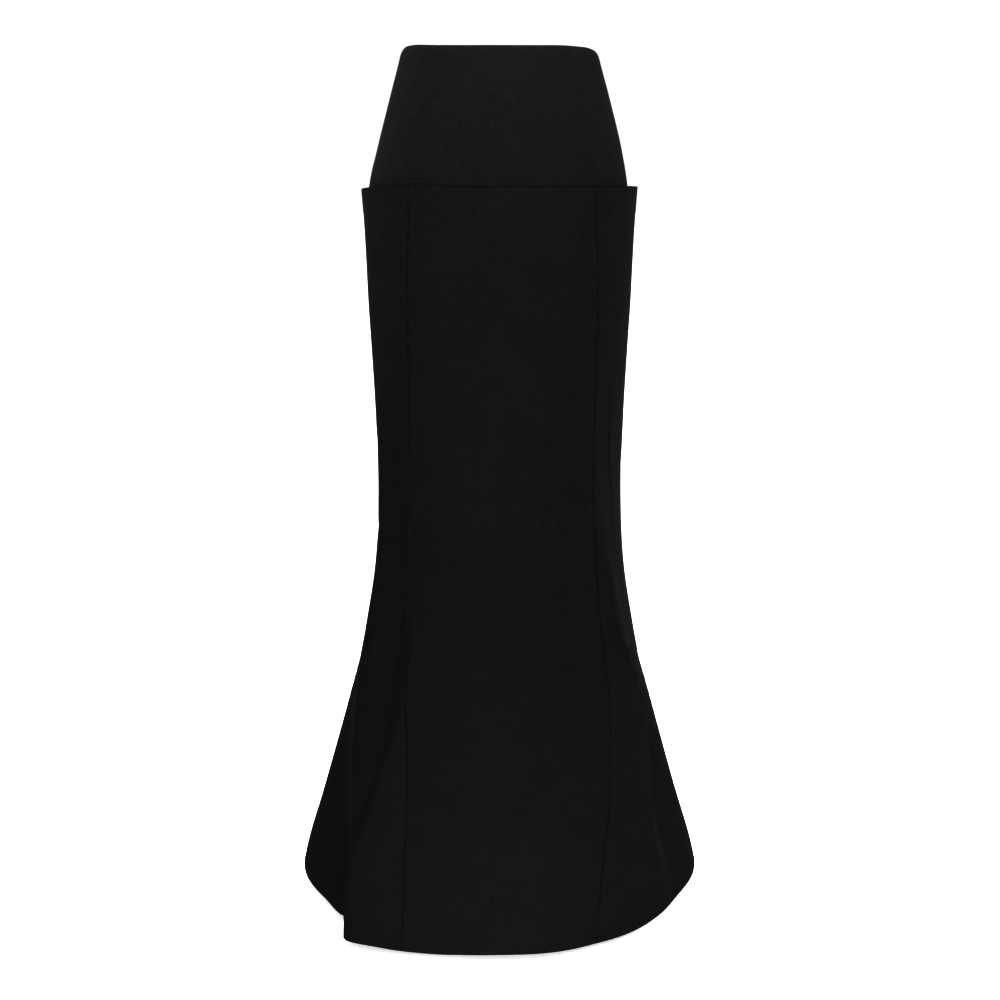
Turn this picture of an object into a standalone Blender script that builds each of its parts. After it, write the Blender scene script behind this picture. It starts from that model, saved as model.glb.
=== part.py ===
"""High-waisted skirt in its worn, hollow form: a fitted hip yoke set under a seven-panel trumpet skirt.

The origin is the centre of the waist's top edge. The front faces -Y, +X is the viewer's right and +Z is up.
Heights are given as drops below the waist. An angle runs round the body from the centre front, positive
towards the viewer's right, so 180 is the centre back.
"""
import math

import bpy
import bmesh
from mathutils import Vector

# Driving sizes in metres
LENGTH = 1.084
RIM_DROP = 0.164
YOKE_DROP = 0.186
CLOTH = 0.0015
SEAM_GAP = 0.0003

# The yoke's outer face, a row for each section: half width, depth before and behind the middle, how square
# the corners are, and how far the section leans to the viewer's left
YOKE_SECTIONS = (
    # drop, half_width, front, back, corner, lean
    (-0.003, 0.1178, 0.0865, 0.0894, 2.40, 0.0000),
    (0.000, 0.1184, 0.0870, 0.0900, 2.40, 0.0000),
    (0.060, 0.1339, 0.0985, 0.1040, 2.40, -0.0002),
    (0.120, 0.1491, 0.1075, 0.1165, 2.40, 0.0001),
    (0.164, 0.1580, 0.1125, 0.1225, 2.40, 0.0012),
    (0.190, 0.1596, 0.1130, 0.1230, 2.40, 0.0012),
)

# The lower skirt's outer face before its folds, in the same way: narrowest at the knee, flared to the hem
SKIRT_SECTIONS = (
    # drop, half_width, front, back, corner, lean
    (0.164, 0.1698, 0.1145, 0.1245, 2.30, 0.0000),
    (0.205, 0.1668, 0.1158, 0.1258, 2.30, -0.0001),
    (0.255, 0.1643, 0.1170, 0.1270, 2.30, -0.0002),
    (0.305, 0.1622, 0.1175, 0.1270, 2.30, -0.0002),
    (0.355, 0.1592, 0.1175, 0.1270, 2.30, -0.0002),
    (0.455, 0.1542, 0.1170, 0.1255, 2.25, -0.0001),
    (0.550, 0.1526, 0.1175, 0.1255, 2.20, 0.0000),
    (0.640, 0.1577, 0.1215, 0.1310, 2.15, -0.0001),
    (0.720, 0.1703, 0.1270, 0.1430, 2.10, -0.0001),
    (0.760, 0.1768, 0.1312, 0.1520, 2.08, -0.0004),
    (0.800, 0.1822, 0.1360, 0.1620, 2.05, -0.0009),
    (0.870, 0.1893, 0.1480, 0.1830, 2.00, -0.0009),
    (0.955, 0.1957, 0.1650, 0.2120, 2.00, -0.0004),
    (1.030, 0.2021, 0.1850, 0.2420, 2.00, -0.0003),
    (1.084, 0.2020, 0.2016, 0.2636, 2.00, -0.0003),
)

# Flutes, ridges and troughs of the hanging cloth. Each starts at one drop, is full at the next and has
# faded at the third. Its middle turns from one angle to the other, and it is a bell whose flanks towards
# the front and the back have their own widths in degrees, at its top and at its foot.
HANGS_TO_HEM = 9.0
FLUTE_EASE = 0.12
FOLDS = (
    # name, starts, full, faded, angle, foot_angle, front, foot_front, back, foot_back, height
    ("side_flute_left", 0.705, 1.084, HANGS_TO_HEM, -108, -113, 11, 25, 22, 26, 0.077),
    ("side_flute_right", 0.705, 1.084, HANGS_TO_HEM, 108, 113, 11, 25, 22, 26, 0.077),
    ("back_flute_left", 0.660, 1.084, HANGS_TO_HEM, -140, -147, 14, 16, 14, 15, 0.026),
    ("back_flute_right", 0.660, 1.084, HANGS_TO_HEM, 140, 146, 14, 15, 14, 16, 0.029),
    ("back_flute_middle", 0.700, 1.084, HANGS_TO_HEM, 180, 180, 14, 15, 14, 15, 0.022),
    ("corner_flute_left", 0.720, 1.084, HANGS_TO_HEM, -80, -51, 12, 19, 11, 7.9, 0.041),
    ("hip_swell_left", 0.850, 1.084, HANGS_TO_HEM, -72, -72, 14, 14, 14, 14, 0.010),
    ("hip_swell_right", 0.850, 1.084, HANGS_TO_HEM, 68, 70, 16, 18, 14, 14, 0.009),
    ("valley_left", 0.860, 1.084, HANGS_TO_HEM, -69, -61.5, 7, 5, 9, 7, -0.020),
    ("trough_left", 0.330, 0.700, 0.950, -65, -61, 10, 10, 14, 10, -0.019),
    ("ridge_left", 0.660, 0.880, 1.100, -46, -55, 6, 7, 6, 5, 0.012),
    ("ridge_right", 0.440, 0.700, 0.920, 50, 78, 8, 8, 6, 6, 0.007),
    ("edge_right", 0.700, 0.880, 1.080, 76, 76, 14, 16, 7, 7, 0.006),
    ("gully_right", 0.740, 0.900, 1.080, 91, 89, 9, 8, 9, 8, -0.024),
    ("dent_right", 0.850, 1.084, HANGS_TO_HEM, 34, 35, 12, 12, 10, 10, -0.004),
)

# The long seams, as angles: a princess seam, a side seam and a back seam on each half
SEAMS = (
    # drop, back_left, side_left, princess_left, princess_right, side_right, back_right
    (0.164, -132.0, -92.0, -48.6, 51.8, 92.0, 132.0),
    (0.455, -131.0, -93.0, -51.6, 53.8, 93.0, 131.0),
    (0.550, -131.0, -94.0, -54.0, 53.6, 94.0, 131.0),
    (0.700, -134.0, -100.0, -49.2, 54.6, 100.0, 134.0),
    (0.780, -138.0, -104.0, -46.6, 55.7, 104.0, 138.0),
    (0.860, -141.0, -107.0, -43.4, 53.4, 107.0, 141.0),
    (0.960, -144.0, -110.0, -39.6, 46.9, 110.0, 144.0),
    (1.010, -145.3, -111.3, -36.9, 42.1, 111.3, 145.3),
    (1.084, -147.0, -113.0, -33.1, 37.1, 113.0, 146.0),
)
SEAM_NAMES = ("back_left", "side_left", "princess_left", "princess_right", "side_right", "back_right")

# The waist's top edge, and the hem, which dips at the front's corners and rises over the side flutes
WAIST_EDGE = (
    # angle, drop
    (-180, 0.0000),
    (-110, 0.0025),
    (-90, 0.0025),
    (-75, -0.0006),
    (-63, -0.0017),
    (-45, -0.0007),
    (-30, -0.0001),
    (0, 0.0001),
    (30, 0.0000),
    (47, -0.0003),
    (58, 0.0003),
    (67, 0.0008),
    (76, 0.0025),
    (90, 0.0045),
    (110, 0.0035),
    (180, 0.0000),
)
HEM_EDGE = (
    # angle, drop
    (-180, 1.0700),
    (-140, 1.0670),
    (-120, 1.0590),
    (-108, 1.0550),
    (-102, 1.0645),
    (-92, 1.0736),
    (-84, 1.0753),
    (-76, 1.0763),
    (-70, 1.0796),
    (-52, 1.0806),
    (-42, 1.0800),
    (-34, 1.0824),
    (-24, 1.0836),
    (-12, 1.0818),
    (0, 1.0804),
    (15, 1.0811),
    (32, 1.0824),
    (53, 1.0812),
    (70, 1.0786),
    (82, 1.0786),
    (90, 1.0745),
    (100, 1.0664),
    (108, 1.0550),
    (120, 1.0590),
    (140, 1.0670),
    (180, 1.0700),
)

# The free top edge of the lower skirt, which stands away from the yoke at the sides
RIM_EDGE = (
    # angle, drop
    (-180, 0.1655),
    (-110, 0.1690),
    (-90, 0.1705),
    (-70, 0.1630),
    (-48, 0.1606),
    (0, 0.1637),
    (50, 0.1652),
    (72, 0.1634),
    (90, 0.1662),
    (110, 0.1665),
    (180, 0.1655),
)

# Panels of the lower skirt from seam to seam. Columns are facets across a panel.
PANELS = (
    # name, left_seam, right_seam, columns
    ("back_centre_left", "centre_back_left", "back_left", 8),
    ("back_side_left", "back_left", "side_left", 10),
    ("front_side_left", "side_left", "princess_left", 20),
    ("front_centre", "princess_left", "princess_right", 18),
    ("front_side_right", "princess_right", "side_right", 18),
    ("back_side_right", "side_right", "back_right", 10),
    ("back_centre_right", "back_right", "centre_back_right", 8),
)
PANEL_ROWS = 25
ROW_EASE = 0.45

# Yoke pieces, each over the lower panels named with it. A yoke facet spans this many of theirs.
YOKE_PIECES = (
    # name, panels_below, facet_span
    ("yoke_back_left", ("back_centre_left", "back_side_left"), 1),
    ("yoke_front", ("front_side_left", "front_centre", "front_side_right"), 2),
    ("yoke_back_right", ("back_side_right", "back_centre_right"), 1),
)
YOKE_ROW_DROPS = (0.000, 0.004, 0.011, 0.014, 0.019, 0.022, 0.060, 0.110, 0.150, 0.164, 0.175, 0.186)
WAIST_DIP_REACH = 0.060

# Concealed zip at the centre back
TAPE_WIDTH = 0.012
TAPE_THICKNESS = 0.0010
TAPE_HALF_SPLIT = 0.0009
TAPE_ROW_DROPS = YOKE_ROW_DROPS[1:] + (0.200, 0.215)
SLIDER_DROP = 0.0165
SLIDER_SIZE = (0.0080, 0.0030, 0.0100)
SLIDER_EDGE_RADIUS = 0.0006
LUG_THICKNESS = 0.0010
LUG_HOLE_RADIUS = 0.0009
LUG_WIRE_RADIUS = 0.0004
LUG_STEM_HEIGHT = 0.0012
LUG_SLOT_HALF_WIDTH = 0.0011
LUG_SLOT_REACH = 0.0030
HINGE_STANDOFF = 0.0013
PULL_THICKNESS = 0.0010
PULL_BAR_HALF = 0.0005
PULL_WINDOW_HALF_WIDTH = 0.0009
PULL_WINDOW_DEPTH = 0.0024
PULL_NECK_HALF_WIDTH = 0.0019
PULL_TAB_RADIUS = 0.0027
PULL_LENGTH = 0.0175

# Colour, roughness and metallic
BLACK_CREPE = ((0.0116, 0.0116, 0.0130), 0.85, 0.0)
BLACK_TAPE = ((0.0090, 0.0090, 0.0100), 0.90, 0.0)
BLACK_ENAMEL = ((0.0120, 0.0120, 0.0130), 0.35, 0.6)

# Steps to either side of a place, in degrees and metres, that its normal is taken from
NORMAL_TURN = 0.5
NORMAL_DROP = 0.002
SHARP_EDGE = 50.0
WELD_REACH = 0.00001


def smoothstep(value):
    value = min(max(value, 0.0), 1.0)
    return value * value * (3.0 - 2.0 * value)


def read_curve(rows, column, position):
    """Value of a table's column at a position along its first column, on a smooth curve through its rows."""
    places = [row[0] for row in rows]
    values = [row[column] for row in rows]
    position = min(max(position, places[0]), places[-1])
    slopes = [(b - a) / (q - p) for a, b, p, q in zip(values, values[1:], places, places[1:])]
    spans = [q - p for p, q in zip(places, places[1:])]
    tangents = [slopes[0]]
    for before, after, span, next_span in zip(slopes, slopes[1:], spans, spans[1:]):
        tangents.append((before * next_span + after * span) / (span + next_span))
    tangents.append(slopes[-1])
    index = max(i for i in range(len(spans)) if places[i] <= position)
    span = spans[index]
    t = (position - places[index]) / span
    return ((2 * t**3 - 3 * t**2 + 1) * values[index]
            + (t**3 - 2 * t**2 + t) * span * tangents[index]
            + (3 * t**2 - 2 * t**3) * values[index + 1]
            + (t**3 - t**2) * span * tangents[index + 1])


def section_radius(rows, angle, drop):
    """Distance from the middle to a rounded, slightly squared section."""
    half_width, front, back, corner = (read_curve(rows, column, drop) for column in (1, 2, 3, 4))
    across = abs(math.sin(math.radians(angle)))
    along = abs(math.cos(math.radians(angle)))
    depth = front if math.cos(math.radians(angle)) > 0.0 else back
    return ((across / half_width) ** corner + (along / depth) ** corner) ** (-1.0 / corner)


def fold_height(fold, angle, drop):
    """How far one fold lifts the cloth at a place."""
    starts, full, faded, top_angle, foot_angle, front, foot_front, back, foot_back, height = fold[1:]
    if drop <= starts:
        return 0.0
    grown = min((drop - starts) / (full - starts), 1.0)
    along = min((drop - starts) / (min(faded, LENGTH) - starts), 1.0)
    if faded == HANGS_TO_HEM:
        strength = (1.0 + FLUTE_EASE) * grown * grown / (grown + FLUTE_EASE)
    else:
        strength = smoothstep(grown) * (1.0 - smoothstep((drop - full) / (faded - full)))
    middle = top_angle + (foot_angle - top_angle) * along
    side = 1.0 if middle > 0.0 else -1.0
    offset = ((angle - middle + 180.0) % 360.0 - 180.0) * side
    if offset < 0.0:
        width = front + (foot_front - front) * along
    else:
        width = back + (foot_back - back) * along
    return height * strength * math.exp(-((offset / width) ** 2))


def inward_normal(face, angle, drop):
    across = face(angle + NORMAL_TURN, drop) - face(angle - NORMAL_TURN, drop)
    down = face(angle, drop + NORMAL_DROP) - face(angle, drop - NORMAL_DROP)
    return across.cross(down).normalized()


def skirt_radius(angle, drop):
    folds = sum(fold_height(fold, angle, drop) for fold in FOLDS)
    return section_radius(SKIRT_SECTIONS, angle, drop) + folds


def skirt_point(angle, drop, inward=0.0):
    """Point on the lower skirt's outer face, or that far inside it along its normal."""
    def on_face(a, d):
        r = skirt_radius(a, d)
        lean = read_curve(SKIRT_SECTIONS, 5, d)
        return Vector((r * math.sin(math.radians(a)) - lean, -r * math.cos(math.radians(a)), -d))
    point = on_face(angle, drop)
    if inward == 0.0:
        return point
    return point + inward_normal(on_face, angle, drop) * inward


def yoke_point(angle, drop, inward=0.0):
    """Point on the yoke: on its own sections, and sloping out to the lower panels below their rim."""
    def own_face(a, d):
        r = section_radius(YOKE_SECTIONS, a, d)
        lean = read_curve(YOKE_SECTIONS, 5, d)
        return Vector((r * math.sin(math.radians(a)) - lean, -r * math.cos(math.radians(a)), -d))
    own = own_face(angle, drop)
    if inward != 0.0:
        own = own + inward_normal(own_face, angle, drop) * inward
    if drop < RIM_DROP:
        return own
    seat = skirt_point(angle, drop, CLOTH + SEAM_GAP + inward)
    seated = smoothstep((drop - RIM_DROP) / (YOKE_DROP - RIM_DROP))
    blended = own.lerp(seat, seated)
    blended.z = -drop
    own_reach = math.hypot(blended.x, blended.y)
    seat_reach = math.hypot(seat.x, seat.y)
    if own_reach > seat_reach:
        blended.x *= seat_reach / own_reach
        blended.y *= seat_reach / own_reach
    return blended


def seam_angle(name, drop):
    if name == "centre_back_left":
        return -180.0
    if name == "centre_back_right":
        return 180.0
    return read_curve(SEAMS, SEAM_NAMES.index(name) + 1, drop)


def rim_drop(angle):
    return read_curve(RIM_EDGE, 1, angle)


def hem_drop(angle):
    return read_curve(HEM_EDGE, 1, angle)


def waist_drop(angle):
    return read_curve(WAIST_EDGE, 1, angle)


def side_gap(angle_fraction, half_gap, radius):
    """Turn in degrees that parts an edge of a piece from its seam line, and none between its edges."""
    turn = math.degrees(half_gap / radius)
    if angle_fraction == 0.0:
        return turn
    if angle_fraction == 1.0:
        return -turn
    return 0.0


def make_material(name, finish):
    colour, roughness, metallic = finish
    material = bpy.data.materials.new(name)
    material.use_nodes = True
    shader = material.node_tree.nodes["Principled BSDF"]
    shader.inputs["Base Color"].default_value = (*colour, 1.0)
    shader.inputs["Roughness"].default_value = roughness
    shader.inputs["Metallic"].default_value = metallic
    return material


def add_object(name, data, material):
    data.materials.clear()
    data.materials.append(material)
    piece = bpy.data.objects.new(name, data)
    collection.objects.link(piece)
    return piece


def add_cloth(name, columns, rows, place, thickness, material):
    """Wall of cloth: a grid laid on place(across, down, inward), across and down from 0 to 1.

    The wall's inner face is the same grid moved inwards along the form's own normals, so that the edges of
    two pieces at a seam stay parallel.
    """
    wall = bmesh.new()
    bmesh.ops.create_grid(wall, x_segments=columns, y_segments=rows, size=0.5)
    doubled = bmesh.ops.extrude_face_region(wall, geom=wall.faces[:])
    inner = {item for item in doubled["geom"] if isinstance(item, bmesh.types.BMVert)}
    for vert in wall.verts:
        across = round((vert.co.x + 0.5) * columns) / columns
        down = round((0.5 - vert.co.y) * rows) / rows
        vert.co = place(across, down, thickness if vert in inner else 0.0)
    bmesh.ops.recalc_face_normals(wall, faces=wall.faces[:])
    mesh = bpy.data.meshes.new(name)
    wall.to_mesh(mesh)
    wall.free()
    mesh.shade_smooth()
    mesh.set_sharp_from_angle(angle=math.radians(SHARP_EDGE))
    return add_object(name, mesh, material)


def panel_angle(panel, across, drop):
    left = seam_angle(panel[1], drop)
    right = seam_angle(panel[2], drop)
    return left + (right - left) * across


def add_panel(panel):
    """One long panel of the lower skirt, from the free rim to the hem."""
    name = panel[0]
    columns = panel[3]

    def place(across, down, inward):
        eased = down + ROW_EASE * down * (1.0 - down)
        level = RIM_DROP + (LENGTH - RIM_DROP) * eased
        angle = panel_angle(panel, across, level)
        drop = rim_drop(angle) + (hem_drop(angle) - rim_drop(angle)) * eased
        angle += side_gap(across, SEAM_GAP / 2.0, skirt_radius(angle, drop))
        return skirt_point(angle, drop, inward)

    add_cloth(name, columns, PANEL_ROWS, place, CLOTH, make_material(name, BLACK_CREPE))


def add_yoke_piece(name, panels_below, facet_span):
    """One yoke piece. Its facets end on the lower panels' own facet edges, so both lie face to face."""
    angles = []
    for panel in PANELS:
        if panel[0] in panels_below:
            steps = panel[3] // facet_span
            angles += [panel_angle(panel, step / steps, RIM_DROP) for step in range(steps)]
            last = panel_angle(panel, 1.0, RIM_DROP)
    angles.append(last)
    rows = len(YOKE_ROW_DROPS) - 1

    def place(across, down, inward):
        angle = angles[round(across * (len(angles) - 1))]
        drop = YOKE_ROW_DROPS[round(down * rows)]
        half_gap = SEAM_GAP / 2.0
        if abs(angle) == 180.0 and abs(drop - SLIDER_DROP) < LUG_SLOT_REACH:
            half_gap = LUG_SLOT_HALF_WIDTH
        angle += side_gap(across, half_gap, section_radius(YOKE_SECTIONS, angle, drop))
        dipped = drop + waist_drop(angle) * (1.0 - smoothstep(drop / WAIST_DIP_REACH))
        return yoke_point(angle, dipped, inward)

    add_cloth(name, len(angles) - 1, rows, place, CLOTH, make_material(name, BLACK_CREPE))


def add_zip_tape(name, side):
    """Tape behind one back yoke piece, made from its rows, and on down behind the centre back seam."""
    rows = len(TAPE_ROW_DROPS) - 1
    behind = CLOTH + SEAM_GAP

    def place(across, down, inward):
        drop = TAPE_ROW_DROPS[round(down * rows)]
        offset = TAPE_HALF_SPLIT + TAPE_WIDTH * (across if side < 0 else 1.0 - across)
        reach = yoke_point(180.0, min(drop, YOKE_DROP)).y
        angle = side * (180.0 - math.degrees(offset / reach))
        if drop <= YOKE_DROP:
            return yoke_point(angle, drop, behind + inward)
        return skirt_point(angle, drop, 2.0 * behind + inward)

    add_cloth(name, 2, rows, place, TAPE_THICKNESS, make_material(name, BLACK_TAPE))


def hinge_place():
    """Middle of the pull's hinge bar, off the yoke's outer face."""
    return yoke_point(180.0, SLIDER_DROP, -HINGE_STANDOFF)


def centre_back_slope():
    """Lean of the yoke's centre back out of the vertical, in radians."""
    above = yoke_point(180.0, SLIDER_DROP - SLIDER_SIZE[2] / 2.0)
    below = yoke_point(180.0, SLIDER_DROP + SLIDER_SIZE[2] / 2.0)
    return math.atan2(below.y - above.y, above.z - below.z)


def box_mesh(name, size, centre):
    box = bmesh.new()
    bmesh.ops.create_cube(box, size=1.0)
    bmesh.ops.scale(box, vec=size, verts=box.verts)
    bmesh.ops.translate(box, vec=centre, verts=box.verts)
    mesh = bpy.data.meshes.new(name)
    box.to_mesh(mesh)
    box.free()
    return mesh


def add_zip_slider():
    """Slider at the top of its travel: a body behind the tapes, and a lug through the seam for the pull."""
    tape_face = HINGE_STANDOFF + CLOTH + SEAM_GAP + TAPE_THICKNESS
    body_middle = -(tape_face + SEAM_GAP + SLIDER_SIZE[1] / 2.0)
    body = box_mesh("zip_slider", SLIDER_SIZE, (0.0, body_middle, 0.0))
    slider = add_object("zip_slider", body, make_material("zip_slider", BLACK_ENAMEL))
    edges = slider.modifiers.new("edges", "BEVEL")
    edges.width = SLIDER_EDGE_RADIUS
    edges.segments = 2

    stem_end = -(LUG_HOLE_RADIUS + LUG_WIRE_RADIUS / 2.0)
    stem_size = (LUG_THICKNESS, stem_end - body_middle, LUG_STEM_HEIGHT)
    stem_mesh = box_mesh("lug_stem", stem_size, (0.0, (body_middle + stem_end) / 2.0, 0.0))
    stem = bpy.data.objects.new("lug_stem", stem_mesh)
    helpers.objects.link(stem)

    bpy.ops.mesh.primitive_torus_add(
        rotation=(0.0, math.pi / 2.0, 0.0),
        major_radius=LUG_HOLE_RADIUS + LUG_WIRE_RADIUS,
        minor_radius=LUG_WIRE_RADIUS,
        major_segments=16,
        minor_segments=6)
    ring = bpy.context.object
    ring.name = "lug_ring"
    ring.data.transform(ring.matrix_basis)

    for piece in (slider, stem, ring):
        piece.location = hinge_place()
        piece.rotation_euler = (centre_back_slope(), 0.0, 0.0)
    for helper in (stem, ring):
        helper.hide_render = True
        helper.display_type = "WIRE"
        join = slider.modifiers.new("join_" + helper.name, "BOOLEAN")
        join.operation = "UNION"
        join.object = helper


def add_zip_pull():
    """Flat drop-shaped pull, hanging on the cloth. Its top bar runs through the slider's lug."""
    outline = bpy.data.curves.new("zip_pull", "CURVE")
    outline.dimensions = "2D"
    outline.fill_mode = "BOTH"
    outline.extrude = PULL_THICKNESS / 2.0
    round_foot = []
    steps = 10
    foot_centre = -(PULL_LENGTH - PULL_BAR_HALF - PULL_TAB_RADIUS)
    for step in range(steps + 1):
        turn = math.pi * step / steps
        round_foot.append((PULL_TAB_RADIUS * math.cos(turn), foot_centre - PULL_TAB_RADIUS * math.sin(turn)))
    drop_shape = [(PULL_NECK_HALF_WIDTH, PULL_BAR_HALF), (PULL_NECK_HALF_WIDTH, -PULL_WINDOW_DEPTH)]
    drop_shape += round_foot
    drop_shape += [(-PULL_NECK_HALF_WIDTH, -PULL_WINDOW_DEPTH), (-PULL_NECK_HALF_WIDTH, PULL_BAR_HALF)]
    window = [
        (PULL_WINDOW_HALF_WIDTH, -PULL_BAR_HALF),
        (PULL_WINDOW_HALF_WIDTH, -PULL_WINDOW_DEPTH),
        (-PULL_WINDOW_HALF_WIDTH, -PULL_WINDOW_DEPTH),
        (-PULL_WINDOW_HALF_WIDTH, -PULL_BAR_HALF),
    ]
    for points in (drop_shape, window):
        spline = outline.splines.new("POLY")
        spline.points.add(len(points) - 1)
        for point, (x, y) in zip(spline.points, points):
            point.co = (x, y, 0.0, 1.0)
        spline.use_cyclic_u = True
    pull = add_object("zip_pull", outline, make_material("zip_pull", BLACK_ENAMEL))
    pull.location = hinge_place()
    pull.rotation_euler = (math.pi / 2.0 - centre_back_slope(), 0.0, math.pi)
    weld = pull.modifiers.new("weld", "WELD")
    weld.merge_threshold = WELD_REACH


for old in list(bpy.data.objects):
    bpy.data.objects.remove(old)
collection = bpy.data.collections.new("column_skirt")
helpers = bpy.data.collections.new("helpers")
bpy.context.scene.collection.children.link(collection)
bpy.context.scene.collection.children.link(helpers)

for skirt_panel in PANELS:
    add_panel(skirt_panel)
for yoke_piece in YOKE_PIECES:
    add_yoke_piece(*yoke_piece)
add_zip_tape("zip_tape_left", -1)
add_zip_tape("zip_tape_right", 1)
add_zip_slider()
add_zip_pull()
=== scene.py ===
"""Floor-length black crepe skirt in its worn, hollow form: a deep hip yoke set inside the standing rim of a
seven-panel trumpet skirt, closed at the centre back by a concealed zip.

Metres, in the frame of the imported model: the origin is the centre of the waist's top edge, the front faces
-Y and +Z is up. Heights are drops below the waist. Angles, in degrees, run round the body from the centre
front, positive towards the viewer's right, so 180 is the centre back.
"""
import math

import bmesh
import bpy
import numpy as np
from mathutils import Matrix, Vector, noise


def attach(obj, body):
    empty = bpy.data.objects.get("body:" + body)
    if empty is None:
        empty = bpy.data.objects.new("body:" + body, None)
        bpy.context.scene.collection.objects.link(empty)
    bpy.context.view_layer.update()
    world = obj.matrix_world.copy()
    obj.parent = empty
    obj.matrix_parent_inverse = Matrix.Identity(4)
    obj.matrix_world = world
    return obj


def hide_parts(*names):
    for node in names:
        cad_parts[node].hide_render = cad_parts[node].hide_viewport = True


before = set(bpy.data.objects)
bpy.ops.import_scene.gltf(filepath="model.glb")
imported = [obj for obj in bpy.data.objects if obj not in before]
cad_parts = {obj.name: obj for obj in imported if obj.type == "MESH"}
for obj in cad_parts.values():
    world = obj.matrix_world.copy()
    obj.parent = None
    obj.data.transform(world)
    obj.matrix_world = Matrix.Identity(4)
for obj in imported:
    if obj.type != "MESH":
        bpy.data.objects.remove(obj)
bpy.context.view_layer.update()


# Camera: a lens of about 75 mm, 2.6 m in front and tipped down a little, at the height of the yoke. That is
# how the whole skirt fills the photograph from the waist's edge to the hem.
CAMERA_PLACE = (0.0008, -2.6, -0.12204)
CAMERA_TILT = 9.4974
CAMERA_LENS = 75.316
SENSOR_WIDTH = 36.0


def add_object(name, data):
    """An object in the scene, at the origin."""
    added = bpy.data.objects.new(name, data)
    bpy.context.scene.collection.objects.link(added)
    return added


camera_data = bpy.data.cameras.new("camera")
camera_data.sensor_width = SENSOR_WIDTH
camera_data.lens = CAMERA_LENS
camera = add_object("camera", camera_data)
camera.location = CAMERA_PLACE
camera.rotation_euler = (math.radians(90.0 - CAMERA_TILT), 0.0, 0.0)
bpy.context.scene.camera = camera
bpy.context.scene.view_settings.view_transform = "Standard"


# Studio: a white sweep lit all round. A strip bank hangs over the waist, soft boxes and a spot fill the front
# and the hem, boxes at both sides, a little behind, draw the edges and the ridges, and two light the back.
SWEEP_BRIGHTNESS = 1.02
CONTRAST_CURVE = 0.6
LAMPS = (
    # name, place, aim, size, watts, spread
    ("strip_bank", (0.0, -0.75, 0.90), (0.0, -0.05, 0.0), (0.8, 0.5), 12.0, 80.0),
    ("low_box", (0.0, -1.10, -1.08), (0.0, -0.1, -1.12), (0.5, 0.3), 2.15, 50.0),
    ("knee_spot", (0.0, -2.4, -0.75), (0.0, -0.12, -0.55), (0.3, 0.3), 0.25, 15.0),
    ("front_box", (0.0, -2.4, -0.75), (0.0, -0.1, -0.40), (0.8, 0.8), 2.0, 60.0),
    ("edge_box_right", (1.7, 0.9, 0.1), (0.1, 0.0, -0.25), (0.5, 1.0), 6.6, 60.0),
    ("knee_box_right", (1.7, 0.7, -0.3), (0.1, 0.0, -0.45), (0.4, 0.4), 3.4, 50.0),
    ("flare_box_right", (1.7, 0.8, -0.75), (0.16, -0.05, -0.80), (0.4, 0.4), 0.5, 30.0),
    ("edge_box_left", (-1.7, 0.9, 0.4), (-0.1, 0.0, -0.05), (0.5, 0.5), 4.3, 30.0),
    ("back_bank", (0.4, 1.9, 1.3), (0.0, 0.1, -0.55), (0.9, 0.6), 6.0, 50.0),
    ("back_box", (-0.6, 2.2, -0.4), (0.0, 0.1, -0.8), (0.5, 0.5), 2.5, 50.0),
)
FLOOR_DROP = 1.088
FLOOR_SIZE = 60.0
FLOOR_GLOW = 0.66


def linear(hex_colour):
    """Linear RGBA of an sRGB hex colour."""
    channels = [int(hex_colour[start:start + 2], 16) / 255.0 for start in (1, 3, 5)]
    return tuple(c / 12.92 if c <= 0.04045 else ((c + 0.055) / 1.055) ** 2.4 for c in channels) + (1.0,)


def set_inputs(tree, node, inputs):
    """Gives a node its inputs. Each is a value, or the output that it is linked to."""
    for name, value in inputs.items():
        if isinstance(value, bpy.types.NodeSocket):
            tree.links.new(value, node.inputs[name])
        else:
            node.inputs[name].default_value = value


def start_material(name):
    """A new material, with its node tree and its shader."""
    material = bpy.data.materials.new(name)
    material.use_nodes = True
    return material, material.node_tree, material.node_tree.nodes["Principled BSDF"]


world = bpy.data.worlds.new("white_sweep")
world.use_nodes = True
set_inputs(world.node_tree, world.node_tree.nodes["Background"], {
    "Color": (1.0, 1.0, 1.0, 1.0), "Strength": SWEEP_BRIGHTNESS})
bpy.context.scene.world = world
bpy.context.scene.view_settings.gamma = CONTRAST_CURVE

for name, place, aim, size, watts, spread in LAMPS:
    lamp = bpy.data.lights.new(name, "AREA")
    lamp.shape = "RECTANGLE"
    lamp.size, lamp.size_y = size
    lamp.energy = watts
    lamp.spread = math.radians(spread)
    lamp_object = add_object(name, lamp)
    lamp_object.location = place
    lamp_object.rotation_euler = (Vector(aim) - Vector(place)).to_track_quat("-Z", "Y").to_euler()

# Opal acrylic lit from below, as product tables are: white, with no mark of a shadow.
lit_acrylic, acrylic_tree, acrylic_shader = start_material("opal_acrylic_lit")
set_inputs(acrylic_tree, acrylic_shader, {
    "Base Color": linear("#f2f2f2"), "Roughness": 0.9, "Specular IOR Level": 0.0,
    "Emission Color": (1.0, 1.0, 1.0, 1.0), "Emission Strength": FLOOR_GLOW})

floor_sheet = bmesh.new()
bmesh.ops.create_grid(floor_sheet, x_segments=1, y_segments=1, size=FLOOR_SIZE / 2.0)
bmesh.ops.translate(floor_sheet, vec=(0.0, 0.0, -FLOOR_DROP), verts=floor_sheet.verts)
floor_mesh = bpy.data.meshes.new("floor")
floor_sheet.to_mesh(floor_mesh)
floor_sheet.free()
floor_mesh.materials.append(lit_acrylic)
add_object("floor", floor_mesh)


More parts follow.
